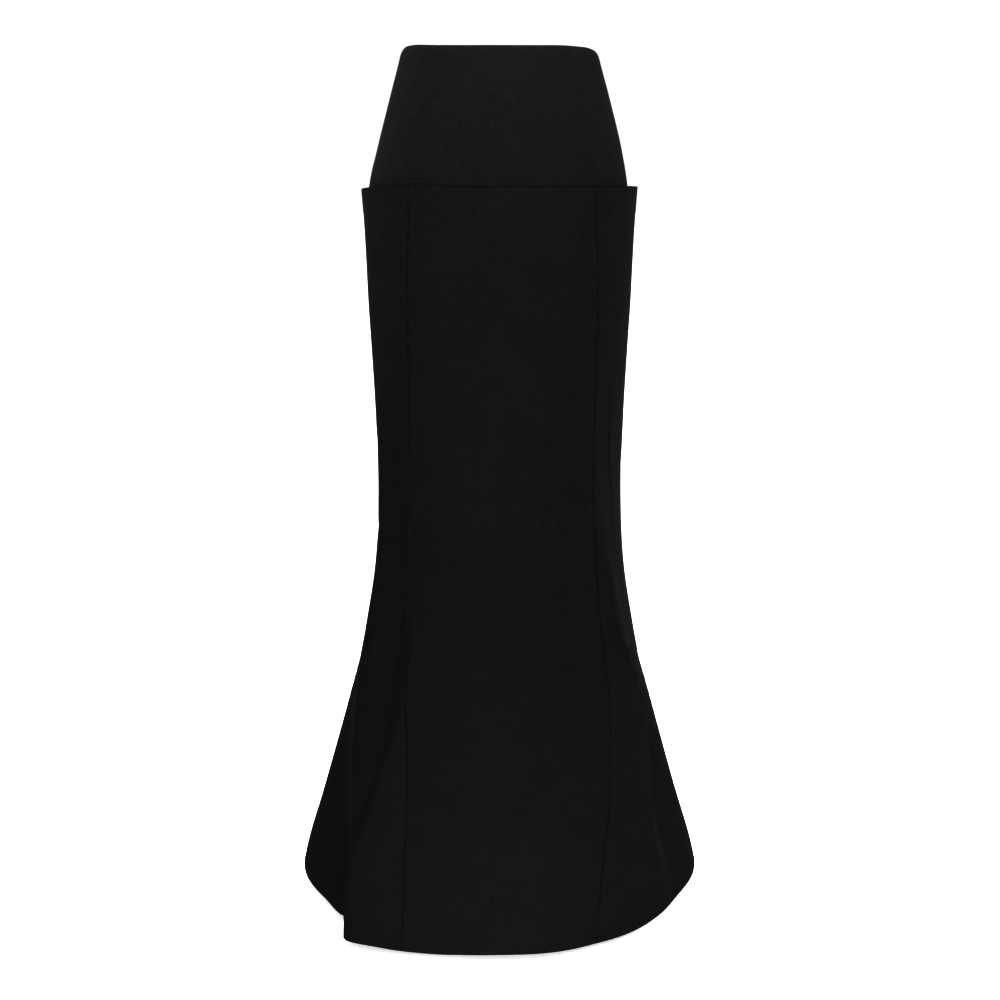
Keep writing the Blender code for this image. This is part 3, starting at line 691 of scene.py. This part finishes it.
def crease_height(crease, angle, drop):
    """Relief of one crease: crisp along its line, with soft flanks, and fading out at both ends."""
    half_width, height, line = crease
    places = np.array(line, float)
    places[:, 0] = places[0, 0] + ((places[:, 0] - places[0, 0] + 180.0) % 360.0 - 180.0)
    lengths = np.hypot(np.diff(places[:, 0]) * METRES_PER_DEGREE, np.diff(places[:, 1]))
    nearest = np.full(drop.shape, np.inf)
    share = np.zeros(drop.shape)
    passed = 0.0
    for start, end, length in zip(places, places[1:], lengths):
        turned = ((angle - start[0] + 180.0) % 360.0 - 180.0) * METRES_PER_DEGREE
        away = np.stack((turned, drop - start[1]), axis=-1)
        run = np.array(((end[0] - start[0]) * METRES_PER_DEGREE, end[1] - start[1]))
        along = np.clip(away @ run / (run @ run), 0.0, 1.0)
        distance = np.linalg.norm(away - along[..., None] * run, axis=-1)
        share = np.where(distance < nearest, (passed + along * length) / lengths.sum(), share)
        nearest = np.minimum(nearest, distance)
        passed += length
    flank = np.hypot(nearest / half_width, CREASE_TIP) - CREASE_TIP
    return height * np.sin(math.pi * share) ** CREASE_FADE * np.exp(-flank)


def panel_lift(angle, drop, side_reach):
    """Relief of the lower skirt, fading out towards the rim so that its cloth stays clear of the yoke."""
    creases = sum(crease_height(crease, angle, drop) for crease in CREASES)
    relief = small_relief(skirt_face(angle, drop), drop, side_reach) + creases
    return relief * smoothstep((drop - RIM_CALM_DROP) / RIM_CALM_FADE)


def hem_edge(angle):
    return read_curve(HEM_EDGE, 1, angle)


def panel_seam(name):
    """The angle of a seam of the lower skirt, as it falls."""
    return lambda level: read_curve(SEAMS, SEAM_NAMES.index(name) + 1, level)


PANELS = (
    # node, left_seam, right_seam, middle_columns, flat, area
    ("back_centre_left", fixed_seam(-180.0), panel_seam("back_left"), 30, (0.19, 0.97), 0.1158),
    ("back_side_left", panel_seam("back_left"), panel_seam("side_left"), 30, (0.22, 0.97), 0.1062),
    ("front_side_left", panel_seam("side_left"), panel_seam("princess_left"), 38, (0.33, 0.97), 0.1578),
    ("front_centre", panel_seam("princess_left"), panel_seam("princess_right"), 50, (0.31, 0.96), 0.2292),
    ("front_side_right", panel_seam("princess_right"), panel_seam("side_right"), 34, (0.29, 0.97), 0.1412),
    ("back_side_right", panel_seam("side_right"), panel_seam("back_right"), 30, (0.22, 0.97), 0.1063),
    ("back_centre_right", panel_seam("back_right"), fixed_seam(180.0), 30, (0.19, 0.97), 0.1163),
)
panel_rows = spaced(FOLD_ROWS, FOLD_ROWS, PANEL_MIDDLE_ROWS)
for piece in PANELS:
    sew_piece(piece, skirt_face, (rim_edge, hem_edge), (RIM_DROP, LENGTH), panel_rows,
              (PRESSED_FOLD, SOFT_FOLD), panel_lift)


# Concealed zip: two woven polyester tapes behind the centre back seam, each 12 mm wide, with a corded edge
# that the coil is sewn to. They end 215 mm below the waist and are stitched to the seam's allowances.
SIDES = ((-1.0, "left"), (1.0, "right"))
TAPE_HALF_SPLIT = 0.0009
TAPE_BEHIND = 0.0018
TAPE_THICKNESS = 0.00055
TAPE_CORD = 0.0009
TAPE_TOP = 0.004
TAPE_FOOT = 0.215
TAPE_ROWS = 84
TAPE_RIB = 0.0008
TAPE_RELIEF = 0.00012
TAPE_COLUMNS = (
    # across, share of the cord's thickness
    (0.0, 0.6), (0.0003, 1.0), (0.0008, 1.0), (0.0013, 0.9), (0.0017, 0.0), (0.0030, 0.0), (0.0055, 0.0),
    (0.0080, 0.0), (0.0105, 0.0), (0.0116, 0.0), (0.0120, 0.0),
)


def tape_material():
    """Polyester tape: fine ribs across it, in a twill, dull but smoother than the crepe."""
    material, tree, shader = start_material("woven_polyester_tape")
    cloth = add_node(tree, "ShaderNodeUVMap", {"uv_map": "cloth"}, {})
    ribs = add_node(tree, "ShaderNodeTexWave", {"bands_direction": "Y"}, {
        "Vector": cloth.outputs["UV"], "Scale": WAVE_PERIOD_AT_SCALE_ONE / TAPE_RIB, "Distortion": 0.4})
    twill = add_node(tree, "ShaderNodeTexWave", {"bands_direction": "DIAGONAL"}, {
        "Vector": cloth.outputs["UV"], "Scale": WAVE_PERIOD_AT_SCALE_ONE / (2.0 * TAPE_RIB)})
    woven = add_node(tree, "ShaderNodeMix", {"data_type": "FLOAT"}, {
        "Factor": 0.5, "A": ribs.outputs["Fac"], "B": twill.outputs["Fac"]})
    bump = add_node(tree, "ShaderNodeBump", {}, {
        "Height": woven.outputs["Result"], "Distance": TAPE_RELIEF, "Strength": 0.8})
    tone = add_node(tree, "ShaderNodeValToRGB", {}, {"Fac": woven.outputs["Result"]})
    dark, light = tone.color_ramp.elements
    dark.color, light.color = linear("#151516"), linear("#222224")
    dull = add_node(tree, "ShaderNodeMapRange", {}, {
        "Value": woven.outputs["Result"], "To Min": 0.85, "To Max": 0.7})
    set_inputs(tree, shader, {
        "Base Color": tone.outputs["Color"], "Roughness": dull.outputs["Result"],
        "Normal": bump.outputs["Normal"], "Specular IOR Level": 0.15})
    return material


def zip_frame(drop):
    """Places on the centre back line at drops, on the tapes' outer side, with the direction out."""
    back = np.full(np.shape(drop), 180.0)
    on_yoke = yoke_face(back, np.minimum(drop, YOKE_DROP))
    yoke_out = outward_normal(yoke_face, back, np.minimum(drop, YOKE_DROP - 2.0 * NORMAL_DROP))
    on_skirt = skirt_face(back, drop)
    skirt_out = outward_normal(skirt_face, back, drop)
    below = (drop > YOKE_DROP)[..., None]
    out = np.where(below, skirt_out, yoke_out)
    place = np.where(below, on_skirt - skirt_out * CAD_WALL, on_yoke) - out * TAPE_BEHIND
    return place, out


def tape_reach(offset, behind, drop):
    """Places at an offset across the back and a depth behind the tapes' outer side, round the body."""
    centre, out = zip_frame(drop)
    turn = offset / centre[..., 1]
    swing = centre[..., 1] - behind * out[..., 1]
    return np.stack((swing * np.sin(turn) + centre[..., 0], swing * np.cos(turn),
                     centre[..., 2] - behind * out[..., 2]), axis=-1)


polyester = tape_material()
for side, label in SIDES:
    across, corded = np.array(TAPE_COLUMNS if side > 0.0 else TAPE_COLUMNS[::-1]).T
    drop = np.linspace(TAPE_TOP, TAPE_FOOT, TAPE_ROWS)[:, None] + 0.0 * across
    offset = side * (TAPE_HALF_SPLIT + across) + 0.0 * drop
    depth = TAPE_THICKNESS + (TAPE_CORD - TAPE_THICKNESS) * corded + 0.0 * drop
    tape = close_wall("zip_tape_" + label + "_woven", tape_reach(offset, 0.0 * drop, drop),
                      tape_reach(offset, depth, drop), offset, -drop, polyester)
    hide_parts("zip_tape_" + label)
    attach(tape, "skirt")


# The coil: a spiral of 0.5 mm nylon monofilament on each tape, pressed oval, whose turns lock in between
# each other's at the middle. One turn is 1.4 mm.
COIL_PITCH = 0.0014
COIL_WIRE = 0.00027
COIL_REACH = 0.0011
COIL_OVAL = 0.6
COIL_MIDDLE = 0.00078
COIL_TOP = 0.0215
COIL_FOOT = 0.2115
COIL_STEPS = 10
COIL_SIDES = 5
DRAWN_MARKS_PER_METRE = 1400.0
ROUND_SHARP_FROM = 80.0


def coil_material():
    """Monofilament: solid black nylon with a soft gloss that breaks up along each turn."""
    material, tree, shader = start_material("nylon_monofilament")
    place = add_node(tree, "ShaderNodeTexCoord", {}, {})
    drawn = add_node(tree, "ShaderNodeTexNoise", {}, {
        "Vector": place.outputs["Object"], "Scale": DRAWN_MARKS_PER_METRE, "Detail": 2.0})
    tone = add_node(tree, "ShaderNodeValToRGB", {}, {"Fac": drawn.outputs["Fac"]})
    dark, light = tone.color_ramp.elements
    dark.color, light.color = linear("#141415"), linear("#212123")
    gloss = add_node(tree, "ShaderNodeMapRange", {}, {
        "Value": drawn.outputs["Fac"], "To Min": 0.32, "To Max": 0.5})
    set_inputs(tree, shader, {"Base Color": tone.outputs["Color"], "Roughness": gloss.outputs["Result"]})
    return material


def round_section(circle):
    """The points and edges of a wire's round section, which are spun along it."""
    return circle["verts"] + list({edge for vert in circle["verts"] for edge in vert.link_edges})


nylon = coil_material()
coil_turns = round((COIL_FOOT - COIL_TOP) / COIL_PITCH)
for side, label in SIDES:
    coil = bmesh.new()
    stood = Matrix.Translation((COIL_REACH, 0.0, 0.0)) @ Matrix.Rotation(math.pi / 2.0, 4, "X")
    wire = bmesh.ops.create_circle(coil, segments=COIL_SIDES, radius=COIL_WIRE, matrix=stood)
    bmesh.ops.spin(coil, geom=round_section(wire), cent=(0.0, 0.0, 0.0), axis=(0.0, 0.0, side),
                   dvec=(0.0, 0.0, -COIL_PITCH / COIL_STEPS), angle=2.0 * math.pi * coil_turns,
                   steps=COIL_STEPS * coil_turns, use_merge=False)
    bmesh.ops.holes_fill(coil, edges=[edge for edge in coil.edges if edge.is_boundary], sides=0)
    straight = np.array([vert.co for vert in coil.verts])
    offset = side * COIL_MIDDLE + straight[:, 0] * side
    behind = TAPE_CORD + COIL_OVAL * (COIL_REACH + COIL_WIRE) + straight[:, 1] * COIL_OVAL
    placed = tape_reach(offset, behind, COIL_TOP - straight[:, 2] + (side + 1.0) * COIL_PITCH / 4.0)
    for vert, place in zip(coil.verts, placed):
        vert.co = place
    coil_piece = add_piece("zip_coil_" + label, coil, nylon, ROUND_SHARP_FROM)
    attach(coil_piece, "skirt")


# Slider and pull: die-cast zinc in black enamel. The slider's body runs on the coil behind the tapes, and its
# lug comes out through the seam to hold the drop-shaped pull. Sizes are those of a small concealed zip.
HINGE_STANDOFF = 0.0013
SLIDER_HALF_HEIGHT = 0.0050
SLIDER_FRONT = (-0.0044, -0.0037)
SLIDER_BACK = (-0.0074, -0.0064)
SLIDER_EDGE = 0.00025
SLIDER_FRONT_SMALLER = 0.0003
SLIDER_HALF_OUTLINE = (
    # across, up
    (0.0014, 0.0050), (0.0034, 0.0046), (0.0040, 0.0032), (0.0039, 0.0010), (0.0031, -0.0022),
    (0.0030, -0.0044), (0.0026, -0.0050),
)
SLIDER_WEDGE = ((0.0009, 0.0044), (0.0013, 0.0030), (0.0, 0.0004), (-0.0013, 0.0030), (-0.0009, 0.0044))
SLIDER_FLANGE = (
    (0.0039, 0.0008), (0.0033, 0.0008), (0.0025, -0.0024), (0.0024, -0.0044), (0.0030, -0.0044),
    (0.0031, -0.0022),
)
FLANGE_HEIGHT = 0.0008
BACK_PAD = (0.0017, 0.0034)
LUG_FOOT = (0.0005, 0.0012)
CAST_OVERLAP = 0.0002
FLANGE_EDGE = 0.00012
FINE_EDGE = 0.0001
LUG_HOLE_RADIUS = 0.0009
LUG_WIRE_RADIUS = 0.0004
LUG_SIDES = 10
LUG_STEPS = 28
PULL_THICKNESS = 0.0010
PULL_EDGE = 0.0002
PULL_BAR_HALF = 0.0005
PULL_WINDOW_HALF_WIDTH = 0.0009
PULL_WINDOW_DEPTH = 0.0024
PULL_NECK_HALF_WIDTH = 0.0019
PULL_TAB_RADIUS = 0.0027
PULL_LENGTH = 0.0175
PULL_ARC_POINTS = 25
PULL_MERGE = 0.00001
PEEL_PER_METRE = 2600.0
PEEL_RELIEF = 0.00001
RUBS_PER_METRE = 420.0
CAST_SHARP_FROM = 40.0


def enamel_material():
    """Stove enamel over zinc: a low even gloss with a faint orange peel, worn a little duller in places."""
    material, tree, shader = start_material("black_stove_enamel")
    place = add_node(tree, "ShaderNodeTexCoord", {}, {})
    peel = add_node(tree, "ShaderNodeTexNoise", {}, {
        "Vector": place.outputs["Object"], "Scale": PEEL_PER_METRE, "Detail": 1.0})
    rubbed = add_node(tree, "ShaderNodeTexNoise", {}, {
        "Vector": place.outputs["Object"], "Scale": RUBS_PER_METRE, "Detail": 4.0, "Roughness": 0.65})
    bump = add_node(tree, "ShaderNodeBump", {}, {
        "Height": peel.outputs["Fac"], "Distance": PEEL_RELIEF, "Strength": 0.5})
    tone = add_node(tree, "ShaderNodeValToRGB", {}, {"Fac": rubbed.outputs["Fac"]})
    dark, light = tone.color_ramp.elements
    dark.position, dark.color = 0.35, linear("#121213")
    light.position, light.color = 0.75, linear("#1c1c1d")
    gloss = add_node(tree, "ShaderNodeMapRange", {}, {
        "Value": rubbed.outputs["Fac"], "From Min": 0.3, "From Max": 0.8, "To Min": 0.26, "To Max": 0.46})
    set_inputs(tree, shader, {
        "Base Color": tone.outputs["Color"], "Roughness": gloss.outputs["Result"],
        "Normal": bump.outputs["Normal"], "Specular IOR Level": 0.35})
    return material


def slider_outline(grow):
    """Outline of the slider's plates: wide at the shoulders, narrow at its mouth."""
    right = [(x + grow, z + math.copysign(grow, z)) for x, z in SLIDER_HALF_OUTLINE]
    return right + [(-x, z) for x, z in reversed(right)]


def oblong(half_width, half_height):
    """Outline of a plain plate."""
    corners = ((1.0, 1.0), (1.0, -1.0), (-1.0, -1.0), (-1.0, 1.0))
    return [(x * half_width, z * half_height) for x, z in corners]


def add_plate(shape, outline, low, high, edge):
    """Plate of an outline across and up, between two depths, with rounded edges."""
    verts = [shape.verts.new((x, low, z)) for x, z in outline]
    base = shape.faces.new(verts)
    raised = bmesh.ops.extrude_face_region(shape, geom=[base])
    top = [item for item in raised["geom"] if isinstance(item, bmesh.types.BMVert)]
    bmesh.ops.translate(shape, vec=(0.0, high - low, 0.0), verts=top)
    plate = set(verts + top)
    edges = [item for item in shape.edges if item.verts[0] in plate and item.verts[1] in plate]
    bmesh.ops.bevel(shape, geom=edges, offset=edge, segments=2, affect="EDGES", profile=0.5, material=-1)


centre_back = np.array([180.0])
at_lug = np.array([LUG_DROP])
hinge = yoke_face(centre_back, at_lug) + outward_normal(yoke_face, centre_back, at_lug) * HINGE_STANDOFF
ends = LUG_DROP + np.array([-SLIDER_HALF_HEIGHT, SLIDER_HALF_HEIGHT])
above, below = yoke_face(np.array([180.0, 180.0]), ends)
slope = math.atan2(below[1] - above[1], above[2] - below[2])

slider = bmesh.new()
back_low, back_high = SLIDER_BACK
front_low, front_high = SLIDER_FRONT
add_plate(slider, slider_outline(0.0), back_low, back_high, SLIDER_EDGE)
add_plate(slider, slider_outline(-SLIDER_FRONT_SMALLER), front_low, front_high, SLIDER_EDGE)
add_plate(slider, SLIDER_WEDGE, back_high - CAST_OVERLAP, front_low + CAST_OVERLAP, FINE_EDGE)
for side in (-1, 1):
    flange = [(side * x, z) for x, z in SLIDER_FLANGE]
    add_plate(slider, flange[::side], back_high - CAST_OVERLAP, back_high + FLANGE_HEIGHT, FLANGE_EDGE)
add_plate(slider, oblong(*BACK_PAD), back_low - CAST_OVERLAP, back_low + CAST_OVERLAP, FLANGE_EDGE)
lug_foot_end = -LUG_HOLE_RADIUS - LUG_WIRE_RADIUS * 0.5
add_plate(slider, oblong(*LUG_FOOT), front_high - CAST_OVERLAP, lug_foot_end, FINE_EDGE)
faced = Matrix.Rotation(math.pi / 2.0, 4, "Y") @ Matrix.Rotation(math.pi / 2.0, 4, "X")
beside_hole = Matrix.Translation((0.0, LUG_HOLE_RADIUS + LUG_WIRE_RADIUS, 0.0))
wire = bmesh.ops.create_circle(slider, segments=LUG_SIDES, radius=LUG_WIRE_RADIUS, matrix=beside_hole @ faced)
bmesh.ops.spin(slider, geom=round_section(wire), cent=(0.0, 0.0, 0.0), axis=(1.0, 0.0, 0.0),
               angle=2.0 * math.pi, steps=LUG_STEPS, use_merge=True)
at_hinge = Matrix.Translation(hinge[0])
bmesh.ops.transform(slider, matrix=at_hinge @ Matrix.Rotation(slope, 4, "X"), verts=slider.verts)
enamel = enamel_material()
slider_piece = add_piece("zip_slider_enamel", slider, enamel, CAST_SHARP_FROM)
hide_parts("zip_slider")
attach(slider_piece, "skirt")

# The pull is stamped 1 mm plate. A window at its neck leaves a bar, which turns in the slider's lug.
outline = bpy.data.curves.new("zip_pull_outline", "CURVE")
outline.dimensions = "2D"
outline.fill_mode = "BOTH"
outline.extrude = PULL_THICKNESS / 2.0 - PULL_EDGE
outline.bevel_depth = PULL_EDGE
outline.bevel_resolution = 2
outline.offset = -PULL_EDGE
foot_centre = -(PULL_LENGTH - PULL_BAR_HALF - PULL_TAB_RADIUS)
tab = [(PULL_TAB_RADIUS * math.cos(turn), foot_centre - PULL_TAB_RADIUS * math.sin(turn))
       for turn in np.linspace(0.0, math.pi, PULL_ARC_POINTS)]
drop_shape = [(PULL_NECK_HALF_WIDTH, PULL_BAR_HALF), (PULL_NECK_HALF_WIDTH, -PULL_WINDOW_DEPTH)] + tab
drop_shape += [(-PULL_NECK_HALF_WIDTH, -PULL_WINDOW_DEPTH), (-PULL_NECK_HALF_WIDTH, PULL_BAR_HALF)]
window = [(side * PULL_WINDOW_HALF_WIDTH, y) for side, y in (
    (1.0, -PULL_BAR_HALF), (1.0, -PULL_WINDOW_DEPTH), (-1.0, -PULL_WINDOW_DEPTH), (-1.0, -PULL_BAR_HALF))]
for points in (drop_shape, window):
    spline = outline.splines.new("POLY")
    spline.points.add(len(points) - 1)
    for point, (x, y) in zip(spline.points, points):
        point.co = (x, y, 0.0, 1.0)
    spline.use_cyclic_u = True
drawn = add_object("zip_pull_outline", outline)
pull = bmesh.new()
pull.from_mesh(drawn.to_mesh())
drawn.to_mesh_clear()
bpy.data.objects.remove(drawn)
bmesh.ops.remove_doubles(pull, verts=pull.verts, dist=PULL_MERGE)
hang = Matrix.Rotation(math.pi, 4, "Z") @ Matrix.Rotation(math.pi / 2.0 - slope, 4, "X")
bmesh.ops.transform(pull, matrix=at_hinge @ hang, verts=pull.verts)
pull_piece = add_piece("zip_pull_enamel", pull, enamel, CAST_SHARP_FROM)
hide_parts("zip_pull")
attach(pull_piece, "pull")


# Sewing on the inside, in black thread: the tapes' stitches, the understitching of the waist's turning, the
# row that holds the yoke's foot, and the blind stitches of the hem, which catch the cloth without showing.
THREAD_RADIUS = 0.00022
STITCH_SIDES = 6
STITCH_RINGS = 4
TWISTS_PER_METRE = 3000.0
TAPE_ROW_ENDS = 0.004
TAPE_ROW_ACROSS = 0.0042
TAPE_STITCH_PITCH = 0.0031
TAPE_STITCH = 0.0023
YOKE_ROW_END = 178.0
YOKE_STITCH_PITCH = 1.42
YOKE_STITCH = 1.0
WAIST_ROW_BELOW = 0.0032
FOOT_ROW_ABOVE = 0.005
HEM_ROW_END = 179.0
HEM_STITCH_PITCH = 1.9
HEM_STITCH = 1.1
HEM_STITCH_RISE = 0.0008
HEM_STITCH_FALL = 0.0016
HEM_STITCH_CATCH = 0.0002


def thread_material():
    """Spun polyester thread: black, with the light catching its twist."""
    material, tree, shader = start_material("spun_polyester_thread")
    place = add_node(tree, "ShaderNodeTexCoord", {}, {})
    twist = add_node(tree, "ShaderNodeTexNoise", {}, {
        "Vector": place.outputs["Object"], "Scale": TWISTS_PER_METRE, "Detail": 1.0})
    tone = add_node(tree, "ShaderNodeValToRGB", {}, {"Fac": twist.outputs["Fac"]})
    dark, light = tone.color_ramp.elements
    dark.color, light.color = linear("#18181a"), linear("#29292c")
    set_inputs(tree, shader, {"Base Color": tone.outputs["Color"], "Roughness": 0.6})
    return material


thread = thread_material()


def add_stitches(name, place, first_holes, second_holes):
    """One joined mesh of short stitches on a surface, each from its first hole to its second."""
    starts, start_out = place(*first_holes)
    finishes, finish_out = place(*second_holes)
    along = finishes - starts
    length = np.linalg.norm(along, axis=-1, keepdims=True)
    along = along / length
    across = np.cross(start_out + finish_out, along)
    across = across / np.linalg.norm(across, axis=-1, keepdims=True)
    out = np.cross(along, across)
    stitch = bmesh.new()
    bmesh.ops.create_uvsphere(stitch, u_segments=STITCH_SIDES, v_segments=STITCH_RINGS, radius=1.0)
    pattern = np.array([vert.co for vert in stitch.verts])
    loops = [[vert.index for vert in face.verts] for face in stitch.faces]
    stitch.free()
    verts = (((starts + finishes) / 2.0)[:, None]
             + along[:, None] * (pattern[:, 2] * 0.5)[None, :, None] * length[:, None]
             + across[:, None] * (pattern[:, 0] * THREAD_RADIUS)[None, :, None]
             + out[:, None] * (pattern[:, 1] * THREAD_RADIUS)[None, :, None])
    mesh = bpy.data.meshes.new(name)
    faces = [[index + number * len(pattern) for index in loop]
             for number in range(len(starts)) for loop in loops]
    mesh.from_pydata(verts.reshape(-1, 3).tolist(), [], faces)
    shape = bmesh.new()
    shape.from_mesh(mesh)
    bpy.data.meshes.remove(mesh)
    stitches = add_piece(name, shape, thread, ROUND_SHARP_FROM)
    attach(stitches, "skirt")


def inside_of(face, lift, depth):
    """Places behind a face, on the inner side of its cloth."""
    def place(angle, drop):
        out = outward_normal(face, angle, drop)
        relief = lift(angle, drop, np.ones(drop.shape))
        return face(angle, drop) + out * (relief - depth)[..., None], out
    return place


def on_tape(side):
    """Places on the inner side of one tape, at an offset across it."""
    def place(offset, drop):
        behind = np.full(drop.shape, TAPE_THICKNESS)
        return tape_reach(side * offset, behind, drop), zip_frame(drop)[1]
    return place


for side, label in SIDES:
    tape_drops = np.arange(TAPE_TOP + TAPE_ROW_ENDS, TAPE_FOOT - TAPE_ROW_ENDS, TAPE_STITCH_PITCH)
    across = np.full(tape_drops.shape, TAPE_HALF_SPLIT + TAPE_ROW_ACROSS)
    add_stitches("zip_tape_stitches_" + label, on_tape(side), (across, tape_drops),
                 (across, tape_drops + TAPE_STITCH))

holes = np.arange(-YOKE_ROW_END, YOKE_ROW_END, YOKE_STITCH_PITCH)
next_holes = holes + YOKE_STITCH
add_stitches("waist_understitching", inside_of(yoke_face, yoke_lift, TURNED),
             (holes, waist_edge(holes) + WAIST_ROW_BELOW),
             (next_holes, waist_edge(next_holes) + WAIST_ROW_BELOW))
foot_row = np.full(holes.shape, YOKE_DROP - FOOT_ROW_ABOVE)
add_stitches("yoke_foot_stitches", inside_of(yoke_face, yoke_lift, CLOTH), (holes, foot_row),
             (next_holes, foot_row))

holes = np.arange(-HEM_ROW_END, HEM_ROW_END, HEM_STITCH_PITCH)
next_holes = holes + HEM_STITCH
add_stitches("hem_blind_stitches", inside_of(skirt_face, panel_lift, TURNED - HEM_STITCH_CATCH),
             (holes, hem_edge(holes) - TURNING - HEM_STITCH_RISE),
             (next_holes, hem_edge(next_holes) - TURNING + HEM_STITCH_FALL))
